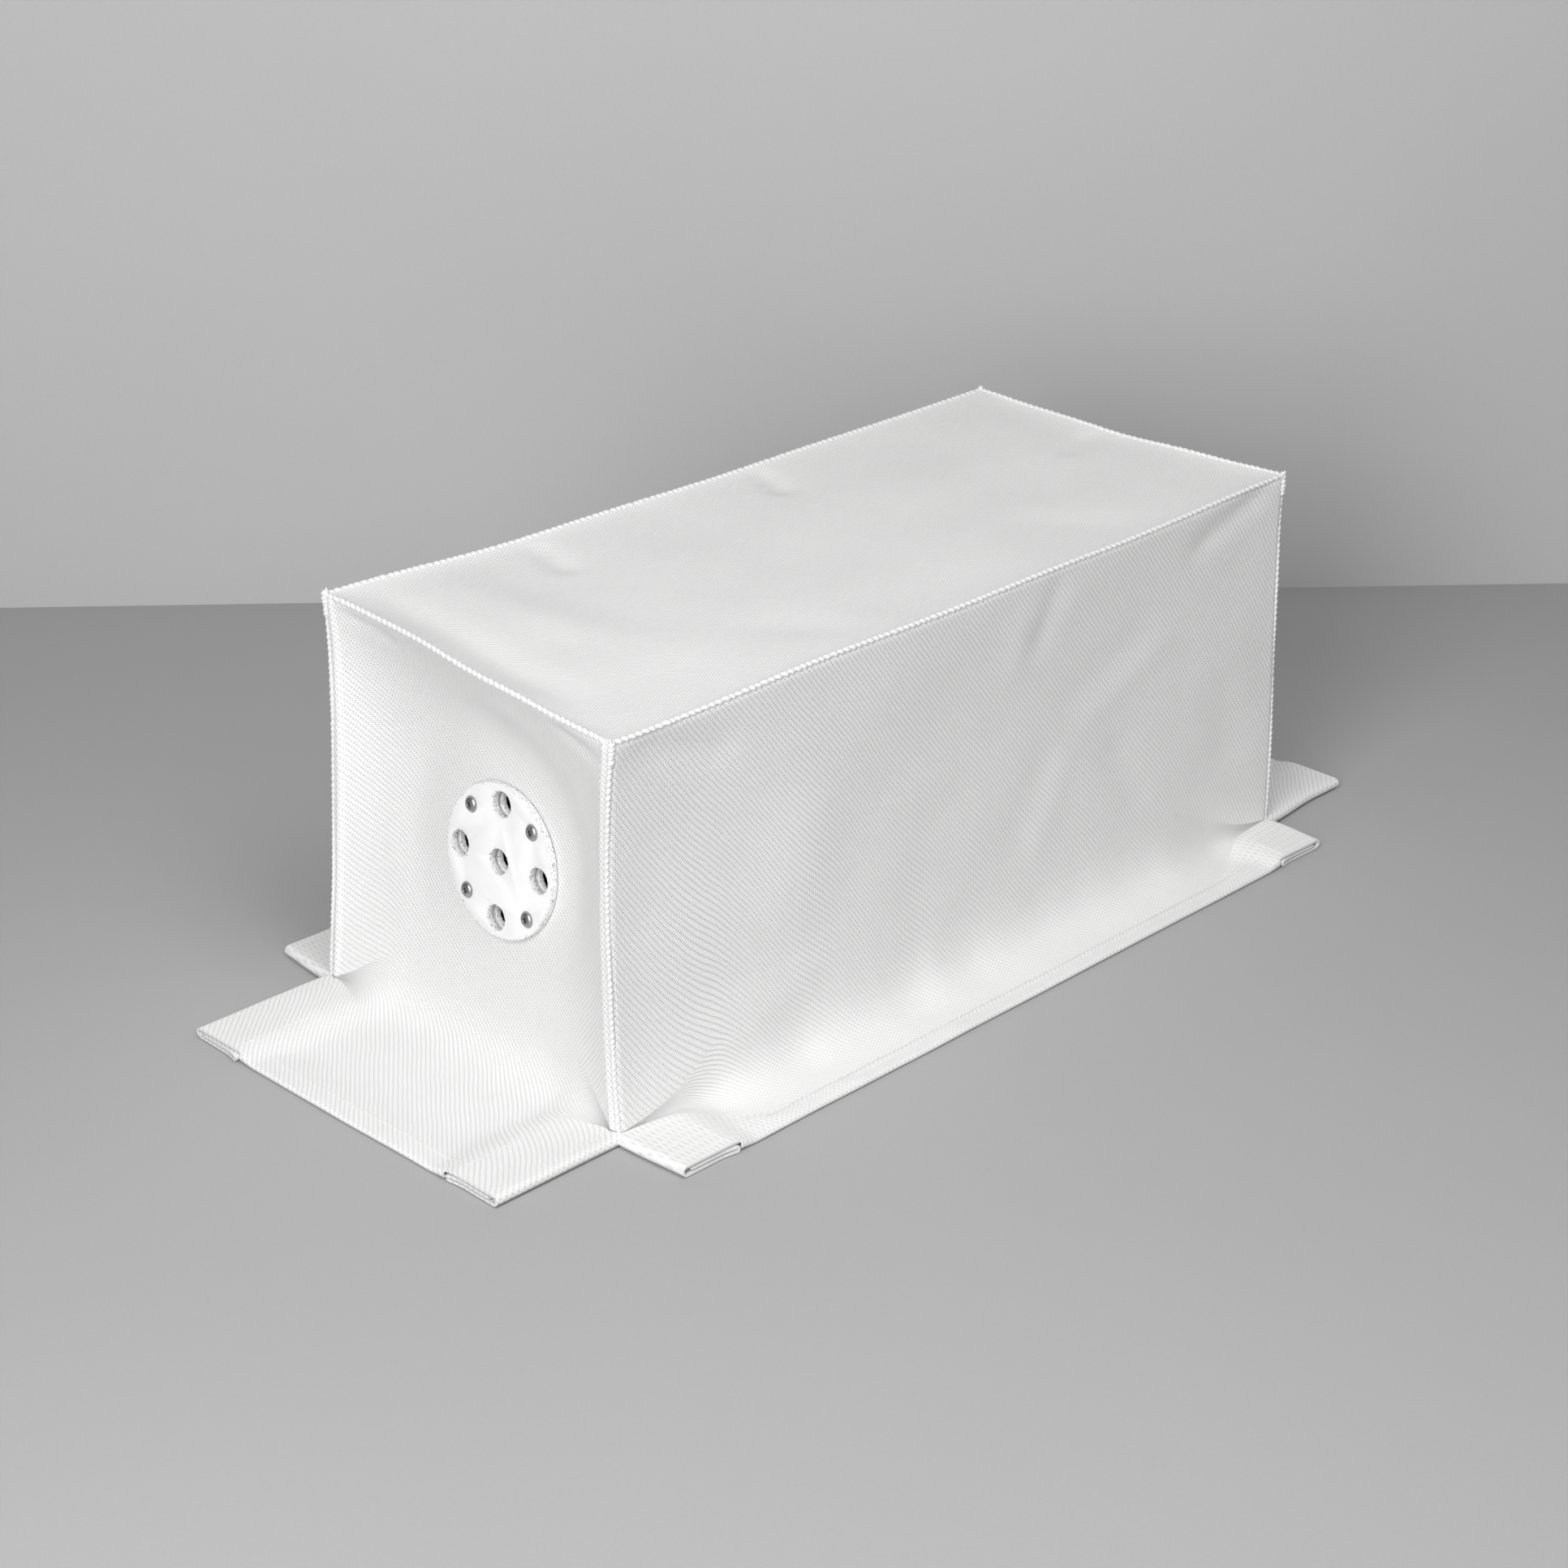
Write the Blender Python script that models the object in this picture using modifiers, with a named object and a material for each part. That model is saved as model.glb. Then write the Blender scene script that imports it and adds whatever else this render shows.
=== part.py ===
"""Fire-resistant cloth hood with a riveted vent plate.

Five panels of thick glass cloth are sewn into a box that is open below. Each wall runs on into a
floor flap, which folds about the foot of its wall. The vent end carries a round perforated plate,
a backing plate inside the cloth, and four blind rivets with their washers.

Metres, +Z up. The origin is on the floor at the centre of the hood; +X runs along its length,
away from the vent end.
"""

import math

import bmesh
import bpy
from mathutils import Euler, Matrix, Vector

COLLECTION_NAME = "fire_hood"

# The sewn box, over the outer faces of its walls.
BODY_LENGTH = 0.500
BODY_WIDTH = 0.230
BODY_HEIGHT = 0.216
END_FLAP_REACH = 0.081
SIDE_FLAP_REACH = 0.041

# Cloth, and the air left between pieces that touch.
CLOTH = 0.0015
GAP = 0.0003
TOP_SAG = 0.005
SIDE_DISH = 0.005
PLAIN_END_DISH = 0.008
VENT_END_DISH = 0.0215
DISH_SKEW = 1.25

# Foot of a wall, and the fold line of its flap.
FOOT_RADIUS = 0.010
FOOT_TOE = 0.001
FOOT_STEPS = 4
FOLD_CLEARANCE = 0.0002

# Hems of a flap: its side edges are folded over twice, its outer edge once.
SIDE_HEM = 0.033
SIDE_HEM_LAYERS = 3
OUTER_HEM = 0.012
OUTER_HEM_LAYERS = 2
HEM_STITCH_INSET = 0.004
FLAP_INSET = 0.001
HEM_SETBACK = 0.003
HEM_BEVEL = 0.0005

# Sewn corners.
SEAM_RADIUS = 0.0015
BARTACK_RADIUS = SEAM_RADIUS + 0.0002
BARTACK_LENGTH = 0.012
SEAM_CLEARANCE = 0.0004
THREAD_RADIUS = 0.0005
TOPSTITCH_INSET = 0.008

# Vent plate seat on the cloth of the vent end.
VENT_HEIGHT = 0.108
VENT_OFFSET = -0.008
VENT_DEPTH = 0.020
VENT_TILT_DEG = 6.5
SEAT_MARGIN = 0.017
SEAT_BLEND = 0.021

# Vent plate, backing plate and their holes.
PLATE_RADIUS = 0.040
PLATE_THICKNESS = 0.0035
BACKING_THICKNESS = 0.003
HOLE_RADIUS = 0.0067
HOLE_CIRCLE = 0.030
RING_HOLES = 4
CLOTH_HOLE_MARGIN = 0.0005

# Blind rivets.
RIVETS = 4
RIVET_CIRCLE = 0.0325
SHANK_RADIUS = 0.0020
HEAD_RADIUS = 0.0038
HEAD_HEIGHT = 0.0014
BULB_RADIUS = 0.0029
BULB_LENGTH = 0.0030
MANDREL_RADIUS = 0.0011
MANDREL_HEAD_RADIUS = 0.0017
MANDREL_HEAD_LENGTH = 0.0018
MANDREL_RECESS = 0.0012
WASHER_RADIUS = 0.0050
WASHER_THICKNESS = 0.0010

# Facets.
CELL = 0.011
COARSE_CELL = 0.026
PLATE_SEGMENTS = 48
HOLE_SEGMENTS = 20
RIVET_SEGMENTS = 12

FOLD_HEIGHT = CLOTH / 2
FOLD_GAP = CLOTH / 2 + FOLD_CLEARANCE
FOLD_REACH = FOOT_RADIUS + FOOT_TOE - CLOTH / 2 + FOLD_GAP
SEAM_ALLOWANCE = 2 * BARTACK_RADIUS + SEAM_CLEARANCE
WALL_TOP = BODY_HEIGHT - SEAM_ALLOWANCE

CLOTH_WHITE = (0.83, 0.83, 0.82)
THREAD_WHITE = (0.88, 0.88, 0.87)
BOARD_WHITE = (0.90, 0.90, 0.89)
RIVET_GREY = (0.58, 0.58, 0.57)
STEEL_GREY = (0.32, 0.32, 0.33)


class Wall:
    """One wall and its flap. Local +X runs along the wall, +Y points out of it, +Z is up."""

    def __init__(self, name, turn_deg, half, plane, reach, dish):
        self.name = name
        self.turn = math.radians(turn_deg)
        self.half = half
        self.plane = plane
        self.reach = reach
        self.dish = dish

    def inward(self, along, height):
        """How far the cloth's middle stands inside the wall's own plane."""
        start = FOOT_RADIUS + CLOTH / 2
        rise = (height - start) / (WALL_TOP - start)
        if rise <= 0 or rise >= 1:
            return 0.0
        across = max(0.0, 1 - (along / (self.half - SEAM_ALLOWANCE)) ** 2)
        depth = self.dish * across * math.sin(math.pi * rise**DISH_SKEW)
        if self.name != VENT_END:
            return depth
        return blend_to_seat(depth, along, height)

    def place(self, ob, outward=0.0, height=0.0):
        """Puts an object made in the wall's local axes where the wall stands."""
        ob.location = Matrix.Rotation(self.turn, 4, "Z") @ Vector((0, self.plane + outward, height))
        ob.rotation_euler = (0, 0, self.turn)


VENT_END = "vent_end"


def walls():
    """The four walls, each turned from the one that faces +Y."""
    half_length = BODY_LENGTH / 2
    half_width = BODY_WIDTH / 2
    return [
        Wall(VENT_END, 90, half_width, half_length, END_FLAP_REACH, VENT_END_DISH),
        Wall("plain_end", -90, half_width, half_length, END_FLAP_REACH, PLAIN_END_DISH),
        Wall("front_side", 180, half_length, half_width, SIDE_FLAP_REACH, SIDE_DISH),
        Wall("back_side", 0, half_length, half_width, SIDE_FLAP_REACH, SIDE_DISH),
    ]


def blend_to_seat(depth, along, height):
    """The cloth lies flat under the vent plate and eases back into the dish around it."""
    seat = VENT_DEPTH + (height - VENT_HEIGHT) * math.tan(math.radians(VENT_TILT_DEG))
    away = math.hypot(along - VENT_OFFSET, height - VENT_HEIGHT)
    ease = (away - PLATE_RADIUS - SEAT_MARGIN) / SEAT_BLEND
    ease = min(1.0, max(0.0, ease))
    weight = ease * ease * (3 - 2 * ease)
    return seat * (1 - weight) + depth * weight


def clear_scene():
    for ob in list(bpy.data.objects):
        bpy.data.objects.remove(ob, do_unlink=True)


def new_collection(name):
    collection = bpy.data.collections.new(name)
    bpy.context.scene.collection.children.link(collection)
    return collection


def material(name, colour, roughness, metallic=0.0):
    mat = bpy.data.materials.new(name)
    mat.use_nodes = True
    shader = mat.node_tree.nodes["Principled BSDF"]
    shader.inputs["Base Color"].default_value = (*colour, 1.0)
    shader.inputs["Roughness"].default_value = roughness
    shader.inputs["Metallic"].default_value = metallic
    mat.diffuse_color = (*colour, 1.0)
    return mat


def add_object(name, data, collection, colour, roughness, metallic=0.0):
    ob = bpy.data.objects.new(name, data)
    collection.objects.link(ob)
    data.materials.append(material(name, colour, roughness, metallic))
    return ob


def mesh_from(bm, name):
    bmesh.ops.recalc_face_normals(bm, faces=bm.faces)
    mesh = bpy.data.meshes.new(name)
    bm.to_mesh(mesh)
    bm.free()
    return mesh


def grid_mesh(name, columns, rows, shape):
    """An open sheet: shape(u, v) gives a point for u and v from 0 to 1."""
    bm = bmesh.new()
    bmesh.ops.create_grid(bm, x_segments=columns, y_segments=rows, size=0.5)
    for vert in bm.verts:
        vert.co = shape(vert.co.x + 0.5, vert.co.y + 0.5)
    mesh = bpy.data.meshes.new(name)
    bm.to_mesh(mesh)
    bm.free()
    return mesh


def solidify(ob, thickness):
    mod = ob.modifiers.new("cloth", "SOLIDIFY")
    mod.thickness = thickness
    mod.offset = 0.0
    mod.use_even_offset = True


def boolean(ob, other, operation):
    mod = ob.modifiers.new(operation.lower(), "BOOLEAN")
    mod.operation = operation
    mod.object = other
    mod.solver = "EXACT"


def hide_cutter(ob, cutters):
    for holder in list(ob.users_collection):
        holder.objects.unlink(ob)
    cutters.objects.link(ob)
    ob.hide_render = True
    ob.display_type = "WIRE"


def cylinder_mesh(name, radius, low, high, segments):
    """An upright cylinder between two heights on the local Z axis."""
    bm = bmesh.new()
    bmesh.ops.create_cone(
        bm, cap_ends=True, segments=segments, radius1=radius, radius2=radius, depth=high - low
    )
    bmesh.ops.translate(bm, vec=(0, 0, (high + low) / 2), verts=bm.verts)
    return mesh_from(bm, name)


def tube(name, points, radius, collection, colour):
    """A thread or sewn ridge along a line of points."""
    curve = bpy.data.curves.new(name, "CURVE")
    curve.dimensions = "3D"
    curve.bevel_depth = radius
    curve.bevel_resolution = 1
    curve.use_fill_caps = True
    spline = curve.splines.new("POLY")
    spline.points.add(len(points) - 1)
    for point, place in zip(spline.points, points):
        point.co = (*place, 1.0)
    return add_object(name, curve, collection, colour, 0.8)


def turned(name, profile, closed, collection, colour, roughness, metallic):
    """A round piece: its profile of (radius, height) points is screwed about local Z."""
    bm = bmesh.new()
    verts = [bm.verts.new((radius, 0, height)) for radius, height in profile]
    pairs = list(zip(verts, verts[1:]))
    if closed:
        pairs.append((verts[-1], verts[0]))
    for first, second in pairs:
        bm.edges.new((first, second))
    mesh = bpy.data.meshes.new(name)
    bm.to_mesh(mesh)
    bm.free()
    ob = add_object(name, mesh, collection, colour, roughness, metallic)
    mod = ob.modifiers.new("turn", "SCREW")
    mod.angle = 2 * math.pi
    mod.steps = RIVET_SEGMENTS
    mod.render_steps = RIVET_SEGMENTS
    mod.use_merge_vertices = True
    mod.merge_threshold = 0.00001
    mod.use_smooth_shade = True
    return ob


def foot_point(along, inward, slide):
    """A point on the foot of a wall: slide 0 is where the arc starts, 1 is the end of the toe."""
    turns = FOOT_STEPS / (FOOT_STEPS + 1)
    if slide <= turns:
        angle = slide / turns * math.pi / 2
        outward = FOOT_RADIUS * (1 - math.cos(angle)) - inward
        height = FOOT_RADIUS * (1 - math.sin(angle)) + CLOTH / 2
        return (along, outward, height)
    toe = (slide - turns) / (1 - turns) * FOOT_TOE
    return (along, FOOT_RADIUS + toe, CLOTH / 2)


def wall_panel(wall, collection):
    """The upright cloth of one wall, curving out at its foot to meet the flap."""
    cell = CELL if wall.name == VENT_END else COARSE_CELL
    half = wall.half - SEAM_ALLOWANCE
    arc_start = FOOT_RADIUS + CLOTH / 2
    upright_rows = round((WALL_TOP - arc_start) / cell)
    foot_rows = FOOT_STEPS + 1
    rows = upright_rows + foot_rows
    columns = 2 * math.ceil(half / cell)

    def shape(u, v):
        along = (2 * u - 1) * half
        row = v * rows
        if row <= foot_rows:
            return foot_point(along, 0.0, 1 - row / foot_rows)
        height = arc_start + (WALL_TOP - arc_start) * (row - foot_rows) / upright_rows
        return (along, -wall.inward(along, height), height)

    mesh = grid_mesh(wall.name + "_panel", columns, rows, shape)
    ob = add_object(wall.name + "_panel", mesh, collection, CLOTH_WHITE, 0.85)
    wall.place(ob, outward=-CLOTH / 2)
    solidify(ob, CLOTH)
    return ob


def top_panel(collection):
    """The roof, which sags a little between its seams."""
    half_x = BODY_LENGTH / 2 - SEAM_ALLOWANCE
    half_y = BODY_WIDTH / 2 - SEAM_ALLOWANCE

    def shape(u, v):
        x = (2 * u - 1) * half_x
        y = (2 * v - 1) * half_y
        sag = TOP_SAG * (1 - (x / half_x) ** 2) * (1 - (y / half_y) ** 2)
        return (x, y, -CLOTH / 2 - sag)

    columns = 2 * math.ceil(half_x / COARSE_CELL)
    rows = 2 * math.ceil(half_y / COARSE_CELL)
    mesh = grid_mesh("top_panel", columns, rows, shape)
    ob = add_object("top_panel", mesh, collection, CLOTH_WHITE, 0.85)
    ob.location = (0, 0, BODY_HEIGHT)
    solidify(ob, CLOTH)


def raise_faces(bm, faces, height, leave_base=False):
    """Extrudes faces straight up; the faces they rise from stay only where leave_base is set."""
    made = bmesh.ops.extrude_face_region(bm, geom=faces)["geom"]
    verts = [item for item in made if isinstance(item, bmesh.types.BMVert)]
    bmesh.ops.translate(bm, vec=(0, 0, height), verts=verts)
    if not leave_base:
        bmesh.ops.delete(bm, geom=[face for face in faces if face.is_valid], context="FACES")


def faces_over(bm, height, low, high):
    """Level faces at a height whose middles lie between two corners (x, y)."""
    chosen = []
    for face in bm.faces:
        middle = face.calc_center_median()
        level = abs(middle.z - height) < CLOTH / 4 and abs(face.normal.z) > 0.5
        if level and low[0] < middle.x < high[0] and low[1] < middle.y < high[1]:
            chosen.append(face)
    return chosen


def flap_mesh(name, edge, outer):
    """The flap lies on the floor; its hems are raised from it by their extra layers."""
    across = [-edge, SIDE_HEM - edge, edge - SIDE_HEM, edge]
    out = [FOLD_GAP, HEM_SETBACK, outer - OUTER_HEM, outer]
    bm = bmesh.new()
    bmesh.ops.create_grid(bm, x_segments=3, y_segments=3, size=1.5)
    for vert in bm.verts:
        column = round(vert.co.x + 1.5)
        row = round(vert.co.y + 1.5)
        vert.co = (across[column], out[row], 0)
    everywhere = ((-edge, 0), (edge, outer))
    raise_faces(bm, faces_over(bm, 0, *everywhere), CLOTH, leave_base=True)
    bmesh.ops.recalc_face_normals(bm, faces=bm.faces)
    outer_hem = faces_over(bm, CLOTH, (-edge, out[2]), (edge, outer))
    left_hem = faces_over(bm, CLOTH, (-edge, out[1]), (across[1], out[2]))
    right_hem = faces_over(bm, CLOTH, (across[2], out[1]), (edge, out[2]))
    step = (OUTER_HEM_LAYERS - 1) * CLOTH
    raise_faces(bm, outer_hem + left_hem + right_hem, step)
    level = CLOTH + step
    left_hem = faces_over(bm, level, (-edge, out[1]), (across[1], outer))
    right_hem = faces_over(bm, level, (across[2], out[1]), (edge, outer))
    raise_faces(bm, left_hem + right_hem, SIDE_HEM_LAYERS * CLOTH - level)
    bmesh.ops.translate(bm, vec=(0, 0, -FOLD_HEIGHT), verts=bm.verts)
    return mesh_from(bm, name)


def flap(wall, collection):
    """A floor flap with its hems. Its origin is on the fold line at the foot of the wall."""
    name = wall.name + "_flap"
    mesh = flap_mesh(name, wall.half - FLAP_INSET, wall.reach - FOLD_REACH)
    ob = add_object(name, mesh, collection, CLOTH_WHITE, 0.85)
    wall.place(ob, FOLD_REACH, FOLD_HEIGHT)
    rounding = ob.modifiers.new("rounding", "BEVEL")
    rounding.width = HEM_BEVEL
    rounding.segments = 1
    rounding.limit_method = "ANGLE"
    return ob


def hem_threads(wall, flap_ob, collection):
    """The stitch lines that hold the three hems of a flap; they ride on the flap."""
    edge = wall.half - FLAP_INSET
    outer = wall.reach - FOLD_REACH
    lift = GAP + THREAD_RADIUS - FOLD_HEIGHT
    line = edge - SIDE_HEM + HEM_STITCH_INSET
    side_height = SIDE_HEM_LAYERS * CLOTH + lift
    outer_height = OUTER_HEM_LAYERS * CLOTH + lift
    seam_line = outer - OUTER_HEM + HEM_STITCH_INSET / 2
    inner_end = edge - SIDE_HEM - GAP - THREAD_RADIUS
    start = HEM_SETBACK + THREAD_RADIUS
    finish = outer - THREAD_RADIUS
    lines = [
        ("left_hem_thread", (-line, start, side_height), (-line, finish, side_height)),
        ("right_hem_thread", (line, start, side_height), (line, finish, side_height)),
        ("outer_hem_thread", (-inner_end, seam_line, outer_height), (inner_end, seam_line, outer_height)),
    ]
    for part, first, last in lines:
        ob = tube(f"{wall.name}_{part}", [first, last], THREAD_RADIUS, collection, THREAD_WHITE)
        ob.parent = flap_ob


def top_seams(wall, collection):
    """The rolled seam between the roof and one wall."""
    end = wall.half - 2 * BARTACK_RADIUS - GAP
    inset = -SEAM_RADIUS
    height = -SEAM_RADIUS
    points = [(-end, inset, height), (end, inset, height)]
    ob = tube(wall.name + "_top_seam", points, SEAM_RADIUS, collection, CLOTH_WHITE)
    wall.place(ob, height=BODY_HEIGHT)


def corner_names():
    """Each upright corner: its name and the signs of its X and Y."""
    return [
        ("vent_front", -1, -1),
        ("vent_back", -1, 1),
        ("plain_front", 1, -1),
        ("plain_back", 1, 1),
    ]


def corner_seam(name, sign_x, sign_y, collection):
    """An upright sewn ridge, with the bar tack that locks the three seams above it."""
    seam_x = sign_x * (BODY_LENGTH / 2 - SEAM_RADIUS)
    seam_y = sign_y * (BODY_WIDTH / 2 - SEAM_RADIUS)
    tack_x = sign_x * (BODY_LENGTH / 2 - BARTACK_RADIUS)
    tack_y = sign_y * (BODY_WIDTH / 2 - BARTACK_RADIUS)
    split = BODY_HEIGHT - BARTACK_LENGTH
    foot = CLOTH
    seam_points = [(seam_x, seam_y, foot), (seam_x, seam_y, split - GAP)]
    tack_points = [(tack_x, tack_y, split), (tack_x, tack_y, BODY_HEIGHT)]
    tube(name + "_corner_seam", seam_points, SEAM_RADIUS, collection, CLOTH_WHITE)
    tube(name + "_bartack", tack_points, BARTACK_RADIUS, collection, THREAD_WHITE)


def corner_topstitch(wall, side, corner, collection):
    """The upright stitch line on an end wall, beside its corner seam."""
    along = side * (wall.half - TOPSTITCH_INSET)
    start = FOOT_RADIUS + CLOTH / 2
    steps = round((WALL_TOP - start) / CELL)
    lift = CLOTH / 2 + GAP + THREAD_RADIUS + GAP
    points = []
    for step in range(steps + 1):
        height = start + (WALL_TOP - start) * step / steps
        points.append((along, lift - CLOTH / 2 - wall.inward(along, height), height))
    ob = tube(corner + "_topstitch", points, THREAD_RADIUS, collection, THREAD_WHITE)
    wall.place(ob)


def vent_seat():
    """An empty on the cloth at the vent's centre; its +Z leaves the hood through the plate."""
    tilt = math.radians(VENT_TILT_DEG)
    seat = bpy.data.objects.new("vent_seat", None)
    seat.location = (VENT_DEPTH + CLOTH / 2 - BODY_LENGTH / 2, VENT_OFFSET, VENT_HEIGHT)
    seat.rotation_euler = Euler((0, tilt - math.pi / 2, 0))
    return seat


def circle_places(count, radius, turn_deg):
    """Points spread evenly round a circle in the seat's plane."""
    places = []
    for index in range(count):
        angle = math.radians(turn_deg) + 2 * math.pi * index / count
        places.append((radius * math.cos(angle), radius * math.sin(angle)))
    return places


def hole_places():
    return [(0.0, 0.0)] + circle_places(RING_HOLES, HOLE_CIRCLE, 0)


def rivet_places():
    return circle_places(RIVETS, RIVET_CIRCLE, 45)


def vent_cutters(seat, cutters, margin, label):
    """Cutters for the vent holes and the rivet holes; margin widens the vent holes."""
    reach = PLATE_THICKNESS + BACKING_THICKNESS + CLOTH + 4 * GAP
    specs = [(HOLE_RADIUS + margin, HOLE_SEGMENTS, place) for place in hole_places()]
    specs += [(SHANK_RADIUS + GAP, RIVET_SEGMENTS, place) for place in rivet_places()]
    made = []
    for index, (radius, segments, place) in enumerate(specs):
        name = f"{label}_cutter_{index}"
        cutter = bpy.data.objects.new(name, cylinder_mesh(name, radius, -reach, reach, segments))
        cutter.parent = seat
        cutter.location = (*place, 0)
        hide_cutter(cutter, cutters)
        made.append(cutter)
    return made


def vent_disc(name, low, high, seat, collection, holes):
    mesh = cylinder_mesh(name, PLATE_RADIUS, low, high, PLATE_SEGMENTS)
    ob = add_object(name, mesh, collection, BOARD_WHITE, 0.75)
    ob.parent = seat
    for hole in holes:
        boolean(ob, hole, "DIFFERENCE")


def rivet(number, place, seat, collection):
    """A blind rivet set through both plates, with its mandrel stub and its washer."""
    outer_face = CLOTH / 2 + GAP + PLATE_THICKNESS
    inner_face = -CLOTH / 2 - GAP - BACKING_THICKNESS
    washer_top = inner_face - GAP
    washer_low = washer_top - WASHER_THICKNESS
    head_low = outer_face + GAP
    head_top = head_low + HEAD_HEIGHT
    bulb_top = washer_low - GAP
    bulb_low = bulb_top - BULB_LENGTH
    bore = MANDREL_RADIUS + GAP
    body = [
        (bore, head_top),
        ((bore + HEAD_RADIUS) / 2, head_top - HEAD_HEIGHT / 6),
        (HEAD_RADIUS * 0.9, head_low + HEAD_HEIGHT * 0.45),
        (HEAD_RADIUS, head_low + HEAD_HEIGHT * 0.1),
        (HEAD_RADIUS, head_low),
        (SHANK_RADIUS, head_low),
        (SHANK_RADIUS, bulb_top),
        (BULB_RADIUS, bulb_top),
        (BULB_RADIUS, bulb_low + BULB_LENGTH / 4),
        (SHANK_RADIUS, bulb_low),
        (bore, bulb_low),
    ]
    pin_top = head_top - MANDREL_RECESS
    pin_head_top = bulb_low - GAP
    pin_low = pin_head_top - MANDREL_HEAD_LENGTH
    pin = [
        (0, pin_top),
        (MANDREL_RADIUS, pin_top),
        (MANDREL_RADIUS, pin_head_top),
        (MANDREL_HEAD_RADIUS, pin_head_top),
        (MANDREL_HEAD_RADIUS, pin_low + MANDREL_HEAD_LENGTH / 3),
        (MANDREL_HEAD_RADIUS / 2, pin_low),
        (0, pin_low),
    ]
    washer_bore = SHANK_RADIUS + GAP
    ring = [
        (washer_bore, washer_top),
        (WASHER_RADIUS, washer_top),
        (WASHER_RADIUS, washer_low),
        (washer_bore, washer_low),
    ]
    pieces = [
        turned(f"vent_rivet_{number}", body, True, collection, RIVET_GREY, 0.35, 1.0),
        turned(f"rivet_mandrel_{number}", pin, False, collection, STEEL_GREY, 0.45, 1.0),
        turned(f"rivet_washer_{number}", ring, True, collection, RIVET_GREY, 0.4, 1.0),
    ]
    for ob in pieces:
        ob.parent = seat
        ob.location = (*place, 0)


def vent(vent_panel, collection, cutters):
    """The vent plate, the backing plate and the rivets, all set square to the seat."""
    seat = vent_seat()
    collection.objects.link(seat)
    plate_holes = vent_cutters(seat, cutters, 0.0, "plate")
    cloth_holes = vent_cutters(seat, cutters, CLOTH_HOLE_MARGIN, "cloth")
    outer_low = CLOTH / 2 + GAP
    inner_high = -CLOTH / 2 - GAP
    outer_high = outer_low + PLATE_THICKNESS
    inner_low = inner_high - BACKING_THICKNESS
    vent_disc("vent_plate", outer_low, outer_high, seat, collection, plate_holes)
    vent_disc("backing_plate", inner_low, inner_high, seat, collection, plate_holes)
    for hole in cloth_holes:
        boolean(vent_panel, hole, "DIFFERENCE")
    for number, place in enumerate(rivet_places(), start=1):
        rivet(number, place, seat, collection)


def build():
    clear_scene()
    hood = new_collection(COLLECTION_NAME)
    cutters = new_collection("cutters")
    top_panel(hood)
    panels = {}
    for wall in walls():
        panels[wall.name] = wall_panel(wall, hood)
        flap_ob = flap(wall, hood)
        hem_threads(wall, flap_ob, hood)
        top_seams(wall, hood)
    for name, sign_x, sign_y in corner_names():
        corner_seam(name, sign_x, sign_y, hood)
    vent_wall, plain_wall = walls()[:2]
    corner_topstitch(vent_wall, -1, "vent_front", hood)
    corner_topstitch(vent_wall, 1, "vent_back", hood)
    corner_topstitch(plain_wall, 1, "plain_front", hood)
    corner_topstitch(plain_wall, -1, "plain_back", hood)
    vent(panels[VENT_END], hood, cutters)


build()
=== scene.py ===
"""The looks of the fire hood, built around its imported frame.

Every cloth panel is one continuous sheet: a wall runs down, sweeps out over its foot and goes on
into its floor flap, whose edges are folded under as real layers. Seams, stitches and bar tacks are
modelled threads, and the vent plates and rivets are modelled in full.

Metres, +Z up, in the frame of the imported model.
"""

import math

import bmesh
import bpy
import numpy as np
from mathutils import Matrix, Vector, noise


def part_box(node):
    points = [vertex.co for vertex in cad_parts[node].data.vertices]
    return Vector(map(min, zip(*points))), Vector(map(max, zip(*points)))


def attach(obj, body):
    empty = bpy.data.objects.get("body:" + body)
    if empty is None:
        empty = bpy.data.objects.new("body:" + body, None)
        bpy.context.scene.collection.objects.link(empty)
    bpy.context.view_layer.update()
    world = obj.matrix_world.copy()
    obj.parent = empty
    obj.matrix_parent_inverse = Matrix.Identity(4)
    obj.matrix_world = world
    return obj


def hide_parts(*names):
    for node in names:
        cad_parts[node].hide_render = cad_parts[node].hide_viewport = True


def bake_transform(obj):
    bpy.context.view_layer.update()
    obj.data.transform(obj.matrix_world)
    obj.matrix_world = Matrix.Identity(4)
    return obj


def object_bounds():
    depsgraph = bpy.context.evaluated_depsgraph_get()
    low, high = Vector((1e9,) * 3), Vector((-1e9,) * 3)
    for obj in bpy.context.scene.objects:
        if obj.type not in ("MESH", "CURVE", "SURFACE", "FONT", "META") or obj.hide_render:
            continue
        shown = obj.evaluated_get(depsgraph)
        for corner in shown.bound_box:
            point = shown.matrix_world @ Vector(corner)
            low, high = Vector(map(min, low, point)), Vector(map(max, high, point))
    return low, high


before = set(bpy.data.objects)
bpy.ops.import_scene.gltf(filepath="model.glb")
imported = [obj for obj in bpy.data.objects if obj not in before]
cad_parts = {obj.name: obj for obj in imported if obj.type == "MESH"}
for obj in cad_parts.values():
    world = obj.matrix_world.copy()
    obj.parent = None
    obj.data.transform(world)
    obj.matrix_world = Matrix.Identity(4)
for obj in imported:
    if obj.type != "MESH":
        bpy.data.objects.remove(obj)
CAD_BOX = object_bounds()

MM = 0.001
HOOD = "hood"

# The sewn box, read from the frame.
HALF_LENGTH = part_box("plain_front_corner_seam")[1].x
HALF_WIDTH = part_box("plain_back_corner_seam")[1].y
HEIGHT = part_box("front_side_top_seam")[1].z
END_REACH = CAD_BOX[1].x - HALF_LENGTH
SIDE_REACH = CAD_BOX[1].y - HALF_WIDTH

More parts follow.
